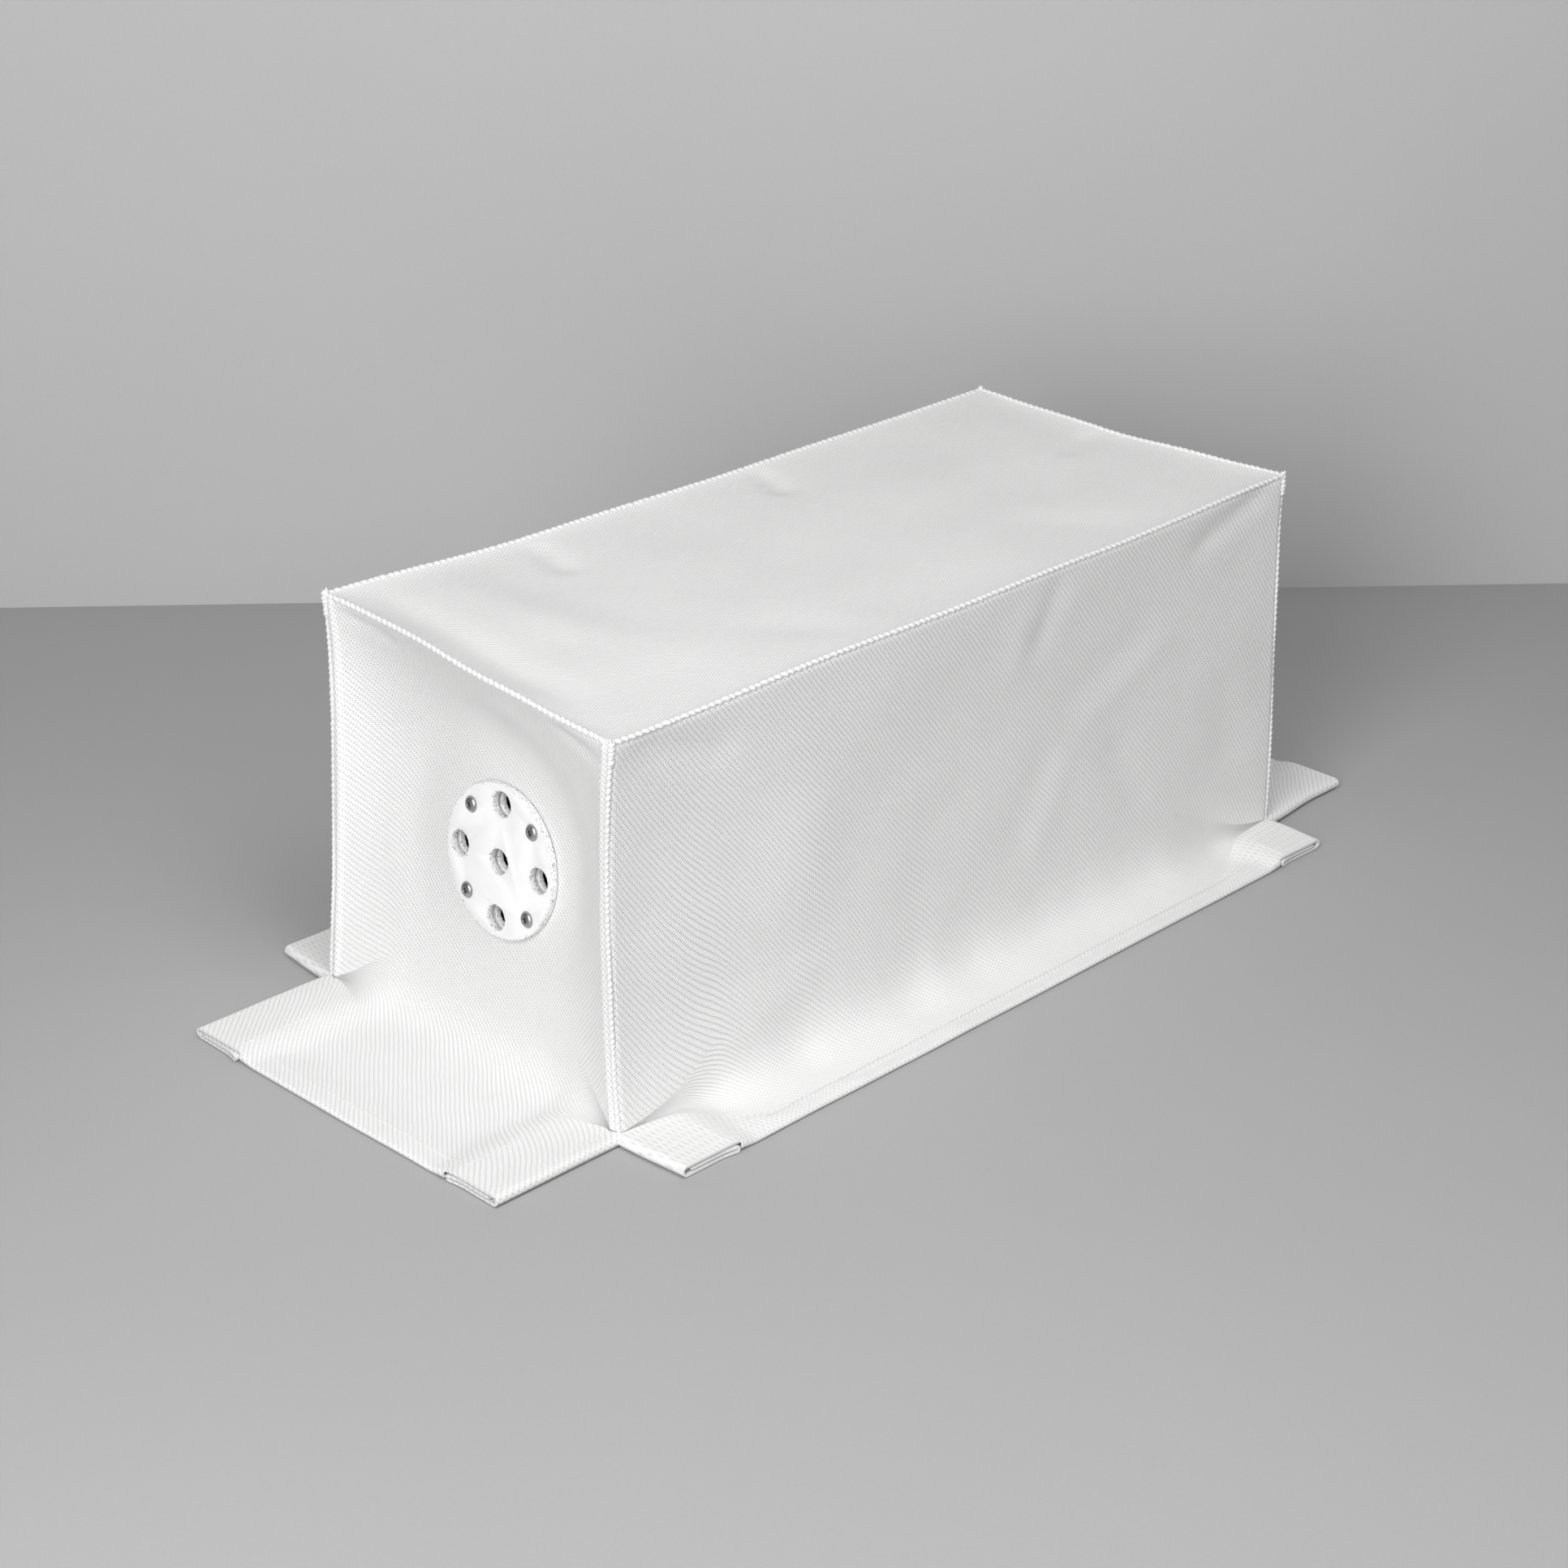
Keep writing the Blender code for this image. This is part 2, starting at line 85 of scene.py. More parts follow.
# Cloth.
CLOTH = 1.5 * MM  # space that one layer takes, over the middles of two layers
CLOTH_THICK = 1.25 * MM  # the cloth itself
SEAM = 1.5 * MM  # radius of a sewn ridge
CELL = 3.2 * MM  # mesh of the sheets, and the finer mesh beside their edges
FINE_CELL = 0.8 * MM
FINE_MARGIN = 9 * MM
SWEEP_STEPS = 24
FOLD_STEPS = 7

# Shape of the walls, as in the frame.
FOOT = 10.75 * MM
DISH_SKEW = 1.25
DISH_INSET = 3.8 * MM
SIDE_HEM = 33 * MM
OUTER_HEM = 12 * MM
HEM_STITCH_INSET = 4 * MM
TOPSTITCH_INSET = 8 * MM
BARTACK_LENGTH = 12 * MM

# The vent and its seat.
VENT_TILT = math.radians(6.5)
PLATE_RADIUS = 40 * MM
PLATE_THICKNESS = 3.5 * MM
BACKING_THICKNESS = 3 * MM
PLATE_GAP = 0.3 * MM
SEAT_MARGIN = 1 * MM
SEAT_BLEND = 48 * MM
BOW_START = 128 * MM
HOLE_RADIUS = 6.7 * MM
HOLE_CIRCLE = 30 * MM
RIVET_CIRCLE = 32.5 * MM
RIVET_SHANK = 2 * MM
RIVET_SHADE_RING = 4.0 * MM  # radius of the painted shade round a rivet's head, where it meets the board
SEAT_DEPTH = 20 * MM
SEAT_OFFSET = -8 * MM
SEAT_HEIGHT = 108 * MM

# How far each sewn corner stands off its true place: at these heights, in x, y and z, all in mm.
CORNER_LEVELS = (0, 30, 60, 108, 150, 190, 216)
CORNER_SHIFTS = {
    (-1, -1): ((-3.8, -1.0, 0.2, 0.6, 0.6, 0.3, 0.0),
               (-0.7, 5.0, 7.5, 9.0, 8.4, 5.6, 1.5),
               (0.0, 0.0, -0.2, -0.8, -2.0, -3.8, -5.0)),
    (-1, 1): ((-4.5, -1.5, 1.8, 5.6, 8.2, 9.4, 8.0),
              (0.0,) * 7,
              (0.0, 0.0, 0.2, 0.6, 1.4, 2.6, 3.5)),
    (1, -1): ((2.7, 3.2, 3.0, 2.0, 1.2, 0.4, 1.0),
              (-4.2, -3.7, -3.2, -1.8, -1.0, -0.4, -0.6),
              (0.0, 0.0, 0.2, 0.6, 1.2, 2.0, 2.7)),
    (1, 1): ((0.0, 0.0, 0.0, 0.3, 0.6, 1.0, 1.3),
             (0.0, 0.0, 0.0, -0.3, -0.6, -0.9, -1.2),
             (0.0, 0.0, 0.0, 0.2, 0.5, 0.9, 1.2)),
}
CORNER_REACH = 150 * MM  # how far along the walls a corner's shift is felt
FLAP_CORNER_REACH = 55 * MM  # the same at the floor
CORNER_REACH_HEIGHT = 60 * MM
SEAT_STILL_MARGIN = 2 * MM
SEAT_STILL_BLEND = 35 * MM
HEM_LOFT = 1.6  # how much looser the folded layers lie than flat ones

# How the cloth hangs.
SEAM_WAVE = 0.35 * MM  # how far a sewn line wanders
PINCH = 3.5 * MM  # width over which the cloth is drawn to a seam
BOW_FULLNESS = 3.4  # how soon the vent wall is hollow beside its corner seams
CORNER_SWEEP = 6.5 * MM  # height at which a wall turns outward at its ends
ROOF_LIP = 2.2 * MM  # drop of the roof just inside its seams
ROOF_SAG = 3.2 * MM  # further drop at its middle

# Camera, with its angles in degrees.
LENS = 69.9
SENSOR = 36
CAMERA_AZIMUTH = -44.70
CAMERA_ELEVATION = 24.94
CAMERA_DISTANCE = 1.6476
CAMERA_TARGET = Vector((-0.0283, 0.0, 0.0808))


# ------------ small maths

def smooth(value):
    """Smoothstep of a number or an array, clipped to 0 and 1."""
    value = np.clip(value, 0.0, 1.0)
    return value * value * (3 - 2 * value)


def spread(low, high, cell, fine, margin):
    """Places from low to high, close together near both ends."""
    ends = max(2, round(margin / fine))
    middle = max(2, round((high - low - 2 * margin) / cell))
    return np.concatenate([
        np.linspace(low, low + margin, ends, endpoint=False),
        np.linspace(low + margin, high - margin, middle, endpoint=False),
        np.linspace(high - margin, high, ends + 1),
    ])


def ripple(first, second, scale, seed):
    """Soft noise from about -1 to 1, for two arrays of places in metres."""
    first, second = np.broadcast_arrays(first, second)
    places = zip(first.ravel(), second.ravel())
    values = [noise.noise((x / scale, y / scale, seed)) for x, y in places]
    return np.array(values).reshape(first.shape)


def crease(first, second, start, end, width, depth):
    """A soft valley of a given depth along the line from start to end, fading at its ends."""
    dx, dy = end[0] - start[0], end[1] - start[1]
    length = math.hypot(dx, dy)
    run = ((first - start[0]) * dx + (second - start[1]) * dy) / length
    off = ((first - start[0]) * dy - (second - start[1]) * dx) / length
    ends = 0.3 * length
    fade = smooth(run / ends) * smooth((length - run) / ends)
    return depth * fade * np.exp(-((off / width) ** 2))


def eased(levels, values):
    """Fine rows of levels and values that pass softly through the given ones, all in mm."""
    window = 21
    fine = np.arange(-20.0, 260.0, 2.0)
    kernel = np.hanning(window)
    line = np.pad(np.interp(fine, levels, values), window // 2, mode="edge")
    return fine * MM, np.convolve(line, kernel / kernel.sum(), mode="valid") * MM


CORNER_ROWS = {
    corner: [eased(CORNER_LEVELS, values) for values in shifts]
    for corner, shifts in CORNER_SHIFTS.items()
}


def settle(points):
    """Moves points as the soft box's corners lean; the seat of the vent stays where it is."""
    points = np.array(points, float)
    x, y, z = points[..., 0], points[..., 1], points[..., 2]
    from_seat = np.sqrt((x + HALF_LENGTH - SEAT_DEPTH) ** 2 + (y - SEAT_OFFSET) ** 2
                        + (z - SEAT_HEIGHT) ** 2)
    free = smooth((from_seat - PLATE_RADIUS - SEAT_STILL_MARGIN) / SEAT_STILL_BLEND)
    climb = smooth(z / CORNER_REACH_HEIGHT)
    reach = FLAP_CORNER_REACH + (CORNER_REACH - FLAP_CORNER_REACH) * climb
    moved = points.copy()
    for (sign_x, sign_y), rows in CORNER_ROWS.items():
        away = np.hypot(x - sign_x * HALF_LENGTH, y - sign_y * HALF_WIDTH)
        weight = smooth(1 - away / reach) * free
        for axis, (levels, values) in enumerate(rows):
            moved[..., axis] += weight * np.interp(z, levels, values)
    return moved


# ------------ walls

class Wall:
    """One wall and its flap. Along runs on the wall, outward leaves it, height is up.

    half is half its length, plane its distance from the middle of the hood, reach how far its
    flap goes out and dish how hollow the wall is. drop and tuck are how far the middle of the
    top seam hangs and leans in, lean is how much more it does so at positive along, and sweep
    is how high the cloth starts to turn outward. skew is how much further the flap reaches at
    its negative and at its positive end.
    """

    def __init__(self, name, turn_deg, half, plane, reach, dish, drop, tuck, lean, sweep, skew,
                 creases):
        self.name = name
        self.turn = math.radians(turn_deg)
        self.half = half
        self.plane = plane
        self.reach = reach
        self.dish = dish
        self.drop = drop
        self.tuck = tuck
        self.lean = lean
        self.sweep = sweep
        self.skew = skew
        self.creases = creases
        self.is_end = "end" in name
        self.flap_body = name + "_flap"

    def world(self, along, outward, height):
        """World points, as an array whose last axis is x, y, z."""
        along, outward, height = np.broadcast_arrays(along, outward, height)
        cos, sin = math.cos(self.turn), math.sin(self.turn)
        away = self.plane + outward
        return np.stack([cos * along - sin * away, sin * along + cos * away, height], axis=-1)

    def seam(self, t):
        """Along, outward and height of the top seam's middle; t runs from -1 to 1."""
        arch = (1 - t * t) * (1 + self.lean * t)
        waves = SEAM_WAVE * np.sin(9 * t + self.half * 40) * (1 - t * t)
        along = t * (self.half - SEAM)
        return along, -SEAM - self.tuck * arch, HEIGHT - SEAM - self.drop * arch + waves

    def tip(self, along):
        """How far out the middle of the cloth lies at the flap's outer fold."""
        share = (np.asarray(along) / self.half + 1) / 2
        further = self.skew[0] + (self.skew[1] - self.skew[0]) * share
        waves = 0.5 * MM * ripple(along, 0, 60 * MM, 12 + self.turn)
        return self.reach - CLOTH / 2 + further + waves

    def inward(self, along, height, top):
        """How far the cloth stands inside the wall's own plane."""
        t = np.clip(np.abs(along) / (self.half - DISH_INSET), 0, 1)
        if self.name != "vent_end":
            rise = np.clip((height - FOOT) / (top - FOOT), 0, 1)
            return self.dish * (1 - t**2) * np.sin(math.pi * rise**DISH_SKEW)
        seat = SEAT_DEPTH + (height - SEAT_HEIGHT) * math.tan(VENT_TILT)
        climb = np.clip((height - BOW_START) / (top - BOW_START), 0, 1)
        bow = seat * (1 - climb**2) * (1 - t**BOW_FULLNESS)
        away = np.hypot(along - SEAT_OFFSET, height - SEAT_HEIGHT)
        weight = smooth((away - PLATE_RADIUS - SEAT_MARGIN) / SEAT_BLEND)
        return seat * (1 - weight) + bow * weight

    def outward(self, along, height):
        """Where the cloth's middle stands, wrinkles and the pull of its seams included."""
        t = np.clip(along / (self.half - SEAM), -1, 1)
        top = self.seam(t)[2]
        below = top - height
        beside = (self.half - SEAM) - np.abs(along)
        place = -CLOTH / 2 - self.inward(along, height, top)
        place = place - self.tuck * (1 - t * t) * (1 + self.lean * t) * np.exp(-below / (45 * MM))
        pinch = np.maximum(1 - smooth(below / PINCH), 1 - smooth(beside / PINCH))
        place = place - (SEAM - CLOTH / 2) * pinch
        if self.is_end:  # the seam allowance swells the cloth beside the corner seams
            place = place + 0.9 * MM * np.exp(-(((beside - 4.6 * MM) / (1.3 * MM)) ** 2))
            place = place - 0.5 * MM * np.exp(-(((beside - 2.2 * MM) / (0.8 * MM)) ** 2))
        calm = smooth(below / (25 * MM)) * smooth(beside / (30 * MM)) * smooth(height / (50 * MM))
        if self.name == "vent_end":
            away = np.hypot(along - SEAT_OFFSET, height - SEAT_HEIGHT)
            calm = calm * smooth((away - PLATE_RADIUS - 4 * MM) / (20 * MM))
        place = place + 0.7 * MM * calm * ripple(along, height, 55 * MM, self.half * 90)
        for start, end, width, depth in self.creases:
            place = place - crease(along, height, start, end, width, depth)
        return place


def mm_creases(rows):
    """Creases written as (start along, start height, end along, end height, width, depth) in mm."""
    return [
        ((a * MM, b * MM), (c * MM, d * MM), width * MM, depth * MM)
        for a, b, c, d, width, depth in rows
    ]


VENT_CREASES = mm_creases([
    (-112, 200, -58, 206, 4, 1.6),
    (110, 209, 58, 202, 4, 1.2),
])
FRONT_CREASES = mm_creases([
    (-170, 152, -72, 104, 9, -0.5),
    (-84, 112, -42, 36, 10, -0.45),
    (-152, 166, -56, 120, 12, 0.6),
    (-70, 126, -24, 44, 12, 0.5),
    (-66, 214, -44, 160, 9, 1.0),
    (-36, 200, -30, 150, 9, -0.5),
    (-106, 104, -144, 42, 12, 0.9),
    (-246, 214, -160, 188, 8, 1.5),
    (-200, 120, -215, 40, 16, 0.9),
    (246, 212, 160, 180, 10, 1.2),
    (120, 150, 135, 60, 24, -0.8),
    (30, 120, 40, 40, 22, 0.8),
])
BACK_CREASES = mm_creases([
    (-244, 206, -160, 118, 9, 1.6),
    (150, 170, 60, 50, 12, 1.3),
    (-40, 120, -80, 24, 13, 0.9),
])
PLAIN_CREASES = mm_creases([
    (110, 206, 62, 160, 6, 1.4),
    (-110, 206, -56, 150, 6, 1.3),
    (30, 70, -10, 20, 12, 0.8),
])

END = {"half": HALF_WIDTH, "plane": HALF_LENGTH, "reach": END_REACH, "sweep": 30 * MM}
SIDE = {"half": HALF_LENGTH, "plane": HALF_WIDTH, "reach": SIDE_REACH, "dish": 5 * MM}
WALLS = [
    Wall("vent_end", 90, **END, dish=21.5 * MM, drop=1.5 * MM, tuck=4.5 * MM, lean=0.2,
         skew=(0.5 * MM, 6 * MM), creases=VENT_CREASES),
    Wall("plain_end", -90, **END, dish=8 * MM, drop=1 * MM, tuck=0.5 * MM, lean=0.0,
         skew=(0.0, -4 * MM), creases=PLAIN_CREASES),
    Wall("front_side", 180, **SIDE, drop=2.3 * MM, tuck=1 * MM, lean=0.6, sweep=42 * MM,
         skew=(0.4 * MM, 3 * MM), creases=FRONT_CREASES),
    Wall("back_side", 0, **SIDE, drop=1.2 * MM, tuck=0.6 * MM, lean=-0.2, sweep=40 * MM,
         skew=(0.0, 0.0), creases=BACK_CREASES),
]
WALL = {wall.name: wall for wall in WALLS}


# ------------ cloth sheets

class Sheet:
    """Grids of points, welded into one sheet of cloth."""

    def __init__(self):
        self.points = []
        self.weave = []
        self.quads = []
        self.count = 0

    def add(self, points, across, along):
        """One grid; across and along are its places on the flat cloth, along with its floats."""
        rows, columns = points.shape[:2]
        ids = np.arange(rows * columns).reshape(rows, columns) + self.count
        corners = [ids[:-1, :-1], ids[1:, :-1], ids[1:, 1:], ids[:-1, 1:]]
        across, along = np.broadcast_arrays(across, along)
        self.quads.append(np.stack(corners, axis=-1).reshape(-1, 4))
        self.points.append(settle(points.reshape(-1, 3)))
        self.weave.append(np.stack([across, along], axis=-1).reshape(-1, 2))
        self.count += rows * columns

    def build(self, name):
        quads = np.concatenate(self.quads)
        mesh = bpy.data.meshes.new(name)
        mesh.from_pydata(np.concatenate(self.points).tolist(), [], quads.tolist())
        weave = np.concatenate(self.weave)[quads.ravel()]
        layer = mesh.uv_layers.new(name="weave")
        layer.data.foreach_set("uv", weave.astype(np.float32).ravel())
        bm = bmesh.new()
        bm.from_mesh(mesh)
        bmesh.ops.remove_doubles(bm, verts=bm.verts, dist=0.002 * MM)
        bm.to_mesh(mesh)
        bm.free()
        return mesh


def flap_level(wall, along, outward, end):
    """Height of the flap's upper layer, which climbs over the layers folded under its edges.

    It starts to climb 20 mm before a side hem and 16 mm before the outer hem.
    """
    edge = wall.half - SEAM
    over_side = smooth((np.abs(along) - (edge - SIDE_HEM - 20 * MM)) / (25 * MM))
    over_outer = smooth((outward - (end - OUTER_HEM - 16 * MM)) / (20 * MM))
    stack = np.maximum(2 * HEM_LOFT * over_side, over_outer)
    uneven = 0.25 * MM * (1 + ripple(along, outward, 28 * MM, 7.5 + wall.turn))
    return CLOTH / 2 + stack * CLOTH + uneven * smooth(outward / (20 * MM))


def level_run(start, end, steps, height):
    """Points along a level stretch of a section, without its first."""
    run = np.linspace(start, end, steps)[1:]
    return np.stack([run, np.full(run.shape, height)], axis=-1)


def side_hem_section():
    """Inward way and height of the cloth round a side hem, from its outer fold to its raw edge.

    The cloth turns under, runs in along the floor, turns back on itself and runs out again
    between the two layers.
    """
    turn = np.linspace(0, math.pi, FOLD_STEPS)
    floor_level = CLOTH / 2
    bulge = HEM_LOFT * CLOTH
    outer = np.stack([-bulge * np.sin(turn), floor_level + CLOTH * (1 + np.cos(turn))], axis=-1)
    lower = level_run(0, SIDE_HEM - CLOTH, 8, floor_level)
    inner = np.stack([
        SIDE_HEM - CLOTH + CLOTH / 2 * np.sin(turn),
        floor_level + CLOTH / 2 * (1 - np.cos(turn)),
    ], axis=-1)[1:]
    middle = level_run(SIDE_HEM - CLOTH, 3 * MM, 8, floor_level + CLOTH)
    return np.concatenate([outer, lower, inner, middle])


def outer_hem_section():
    """Inward way and height of the cloth round the outer hem, from its fold to its raw edge."""
    turn = np.linspace(0, math.pi, FOLD_STEPS)
    rise = CLOTH / 2 + CLOTH / 2 * (1 + np.cos(turn))
    fold = np.stack([-CLOTH / 2 * np.sin(turn), rise], axis=-1)
    return np.concatenate([fold, level_run(0, OUTER_HEM, 5, CLOTH / 2)])


def path_lengths(section):
    """Length along a section's points, from its first."""
    steps = np.linalg.norm(np.diff(section, axis=0), axis=1)
    return np.concatenate([[0], np.cumsum(steps)])


def turn_heights(wall, along):
    """How high a wall starts to turn outward: low at its ends, and wandering between them."""
    wander = 1 + (0.1 if wall.is_end else 0.3) * ripple(along, 0, 40 * MM, 3 + wall.turn)
    opening = smooth((wall.half - SEAM - np.abs(along)) / ((45 if wall.is_end else 110) * MM))
    return CORNER_SWEEP + (wall.sweep - CORNER_SWEEP) * opening * wander


def swept_rows(wall, along, turn_height, landing, tips):
    """Rows of the sweep, outward and up, and where it ends: a curve with the wall's slope at
    its top and the flap's at its end."""
    step = 1 * MM
    start = wall.outward(along, turn_height)
    slope = wall.outward(along, turn_height + step) - wall.outward(along, turn_height - step)
    slope = slope / (2 * step)
    knee = start - slope * (turn_height - landing)
    run_out = 0.85 * np.hypot(knee - start, turn_height - landing)
    reach = knee + np.minimum(run_out, 0.8 * (tips - knee))
    q = np.linspace(0, 1, SWEEP_STEPS + 1)[1:, None]
    shares = [math.comb(4, k) * q**k * (1 - q) ** (4 - k) for k in range(5)]
    half_out, half_up = (start + knee) / 2, (turn_height + landing) / 2
    outs = (start, half_out, knee, (knee + reach) / 2, reach)
    ups = (turn_height, half_up, landing, landing, landing)
    sweep_out = sum(share * place for share, place in zip(shares, outs))
    sweep_up = sum(share * place for share, place in zip(shares, ups))
    return sweep_out, sweep_up, reach


def flap_rows(wall, along, reach, landing, tips):
    """Rows of the flap, outward and up, from the end of the sweep to the outer fold."""
    rows = round((wall.reach - 6 * MM) / (1.7 * MM))
    share = np.linspace(0, 1, rows + 1)[1:, None]
    out = reach + (tips - reach) * share
    up = flap_level(wall, along[None, :], out, tips[None, :])
    ease = np.clip(1 - (out - reach) / (10 * MM), 0, 1)
    return out, up + (landing - up) * smooth(ease)


def add_side_hems(sheet, wall, outward, heights, run, reach, tips):
    """The side hems, folded under from the end of the sweep to the outer fold."""
    edge = wall.half - SEAM
    section = side_hem_section()
    ways = path_lengths(section)[None, :]
    nub = np.exp(-(((section[:, 0] - SIDE_HEM) / (6 * MM)) ** 2)) * 1.6 * MM
    for side, column in ((-1, 0), (1, -1)):
        edge_out = outward[:, column][:, None]
        share = (edge_out - reach[column]) / (tips[column] - reach[column])
        out = edge_out + nub[None, :] * smooth(share)
        edge_up = heights[:, column][:, None]
        up = section[:, 1][None, :] * (edge_up / (CLOTH / 2 + 2 * CLOTH))
        grid = wall.world(side * (edge - section[:, 0])[None, :], out, up)
        places = side * (edge + ways)
        if side < 0:
            grid, places = grid[:, ::-1], places[:, ::-1]
        add_to_sheet(sheet, wall, grid, places, run)


def add_outer_hem(sheet, wall, along, outward, heights, run):
    """The outer hem, folded under between the side hems."""
    inner = np.abs(along) < wall.half - SEAM - SIDE_HEM - 1 * MM
    section = outer_hem_section()
    out = outward[inner][None, :] - section[:, 0][:, None]
    up = section[:, 1][:, None] * (heights[inner][None, :] / (CLOTH / 2 + CLOTH))
    grid = wall.world(along[inner][None, :], out, up)
    ways = path_lengths(section)[:, None]
    add_to_sheet(sheet, wall, grid, along[inner][None, :], run + ways)


def wall_sheet(wall):
    """The cloth of a wall and its flap, with its hems folded under."""
    edge = wall.half - SEAM
    along = spread(-edge, edge, CELL, FINE_CELL, FINE_MARGIN)
    top = wall.seam(along / edge)[2]
    turn_height = turn_heights(wall, along)
    depth = spread(0, 1, 0.016, 0.005, 0.05)[:, None]
    height = top - (top - turn_height) * depth
    upright = wall.world(along, wall.outward(along[None, :], height), height)
    tips = wall.tip(along)
    landing = flap_level(wall, along, np.zeros_like(along), tips)
    sweep_out, sweep_up, reach = swept_rows(wall, along, turn_height, landing, tips)
    flat_out, flat_up = flap_rows(wall, along, reach, landing, tips)
    outward = np.concatenate([sweep_out, flat_out])
    heights = np.concatenate([sweep_up, flat_up])
    grid = np.concatenate([upright, wall.world(along, outward, heights)])

    sheet = Sheet()
    run = path_lengths(grid[:, len(along) // 2])[:, None]  # down the middle of the wall
    add_to_sheet(sheet, wall, grid, along[None, :], run)
    first = len(sweep_out) - 1
    add_side_hems(sheet, wall, outward[first:], heights[first:], run[len(upright) + first:],
                  reach, tips)
    add_outer_hem(sheet, wall, along, outward[-1], heights[-1], run[-1])
    return sheet.build(wall.name + "_cloth")


def add_to_sheet(sheet, wall, grid, along, run):
    """The floats of the weave run across the end walls and down the side walls."""
    along, run = np.broadcast_arrays(along, run)
    if wall.is_end:
        sheet.add(grid, run, along)
    else:
        sheet.add(grid, along, run)


TOP_CREASES = mm_creases([
    (-227, 122, -229, -84, 13, 3.0),
    (-190, 108, -158, -40, 19, -1.6),
    (-108, 114, -122, 62, 9, 1.9),
    (60, 114, 46, 70, 9, 2.0),
    (246, 22, 200, 4, 7, 1.5),
    (-60, -104, -110, -40, 14, 0.9),
    (150, -100, 90, -30, 16, 0.8),
])


def top_sheet():
    """The roof, hung between its four seams."""
    half_x = HALF_LENGTH - SEAM
    half_y = HALF_WIDTH - SEAM
    x = spread(-half_x, half_x, CELL, FINE_CELL, FINE_MARGIN)
    y = spread(-half_y, half_y, CELL, FINE_CELL, FINE_MARGIN)
    u = (x / half_x + 1)[None, :, None] / 2
    v = (y / half_y + 1)[:, None, None] / 2
    front = seam_points(WALL["front_side"], -x / half_x)[None, :, :]
    back = seam_points(WALL["back_side"], x / half_x)[None, :, :]
    vent = seam_points(WALL["vent_end"], y / half_y)[:, None, :]
    plain = seam_points(WALL["plain_end"], -y / half_y)[:, None, :]
    corners = (
        (1 - u) * (1 - v) * front[:, :1] + u * (1 - v) * front[:, -1:]
        + (1 - u) * v * back[:, :1] + u * v * back[:, -1:]
    )
    grid = (1 - v) * front + v * back + (1 - u) * vent + u * plain - corners
    beside_x = half_x - np.abs(x)[None, :]
    beside_y = half_y - np.abs(y)[:, None]
    lip = (1 - np.exp(-beside_x / (6 * MM))) * (1 - np.exp(-beside_y / (6 * MM)))
    bowl = (1 - (x / half_x) ** 2)[None, :] * (1 - (y / half_y) ** 2)[:, None]
    places_x, places_y = np.meshgrid(x, y)
    calm = smooth(beside_x / (30 * MM)) * smooth(beside_y / (30 * MM))
    sag = ROOF_LIP * lip + ROOF_SAG * bowl
    sag = sag + 0.8 * MM * calm * ripple(places_x, places_y, 60 * MM, 21)
    for start, end, width, depth in TOP_CREASES:
        sag = sag + crease(places_x, places_y, start, end, width, depth) * lip
    grid[:, :, 2] -= sag
    sheet = Sheet()
    sheet.add(grid, x[None, :], y[:, None])
    return sheet.build("top_cloth")


def seam_points(wall, t):
    along, outward, height = wall.seam(t)
    return wall.world(along, outward, height)


# ------------ objects

def shown_object(name, data):
    ob = bpy.data.objects.new(name, data)
    bpy.context.scene.collection.objects.link(ob)
    return ob


def new_object(name, mesh, body=None, mat=None):
    ob = shown_object(name, mesh)
    if mat:
        mesh.materials.append(mat)
    if body:
        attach(ob, body)
    return ob


def bake(ob):
    """Applies an object's modifiers to its mesh."""
    bpy.context.view_layer.update()
    graph = bpy.context.evaluated_depsgraph_get()
    mesh = bpy.data.meshes.new_from_object(ob.evaluated_get(graph), depsgraph=graph,
                                           preserve_all_data_layers=True)
    mesh.name = ob.name
    ob.modifiers.clear()
    ob.data = mesh


def shade(mesh, sharp_deg=50):
    mesh.shade_smooth()
    mesh.set_sharp_from_angle(angle=math.radians(sharp_deg))


def thicken(ob, thickness):
    mod = ob.modifiers.new("cloth", "SOLIDIFY")
    mod.thickness = thickness
    mod.offset = 0.0
    mod.use_rim = True


def cut(ob, cutters):
    """Cuts a joined set of closed shapes out of an object."""
    mod = ob.modifiers.new("holes", "BOOLEAN")
    mod.operation = "DIFFERENCE"
    mod.solver = "EXACT"
    mod.object = cutters
    bake(ob)


def close_tube(bm, rings):
    """Joins rings of points into a tube and closes both its ends."""
    for first, second in zip(rings, rings[1:]):
        for index in range(len(first)):
            after = (index + 1) % len(first)
            bm.faces.new((first[index], first[after], second[after], second[index]))
    bm.faces.new(rings[0][::-1])
    bm.faces.new(rings[-1])


def unit(ways):
    return ways / np.linalg.norm(ways, axis=1)[:, None]


def sweep(bm, points, rounds, wide, deep, sides=6):
    """A strand along points: rounds point away from what it is wrapped on, and its section is
    wide across them and deep along them."""
    tangent = unit(np.gradient(points, axis=0))
    rounds = unit(rounds - (rounds * tangent).sum(1)[:, None] * tangent)
    cross = np.cross(tangent, rounds)
    wide = np.broadcast_to(wide, len(points))[:, None, None]
    deep = np.broadcast_to(deep, len(points))[:, None, None]
    angle = np.linspace(0, 2 * math.pi, sides, endpoint=False)[None, :, None]
    ring = points[:, None] + wide * np.cos(angle) * cross[:, None]
    ring = ring + deep * np.sin(angle) * rounds[:, None]
    close_tube(bm, [[bm.verts.new(place) for place in row] for row in ring])


def plain_mesh(bm, name):
    mesh = bpy.data.meshes.new(name)
    bm.to_mesh(mesh)
    bm.free()
    return mesh


def shaded_mesh(bm, name, sharp_deg=50):
    bmesh.ops.recalc_face_normals(bm, faces=bm.faces)
    mesh = plain_mesh(bm, name)
    shade(mesh, sharp_deg)
    return mesh


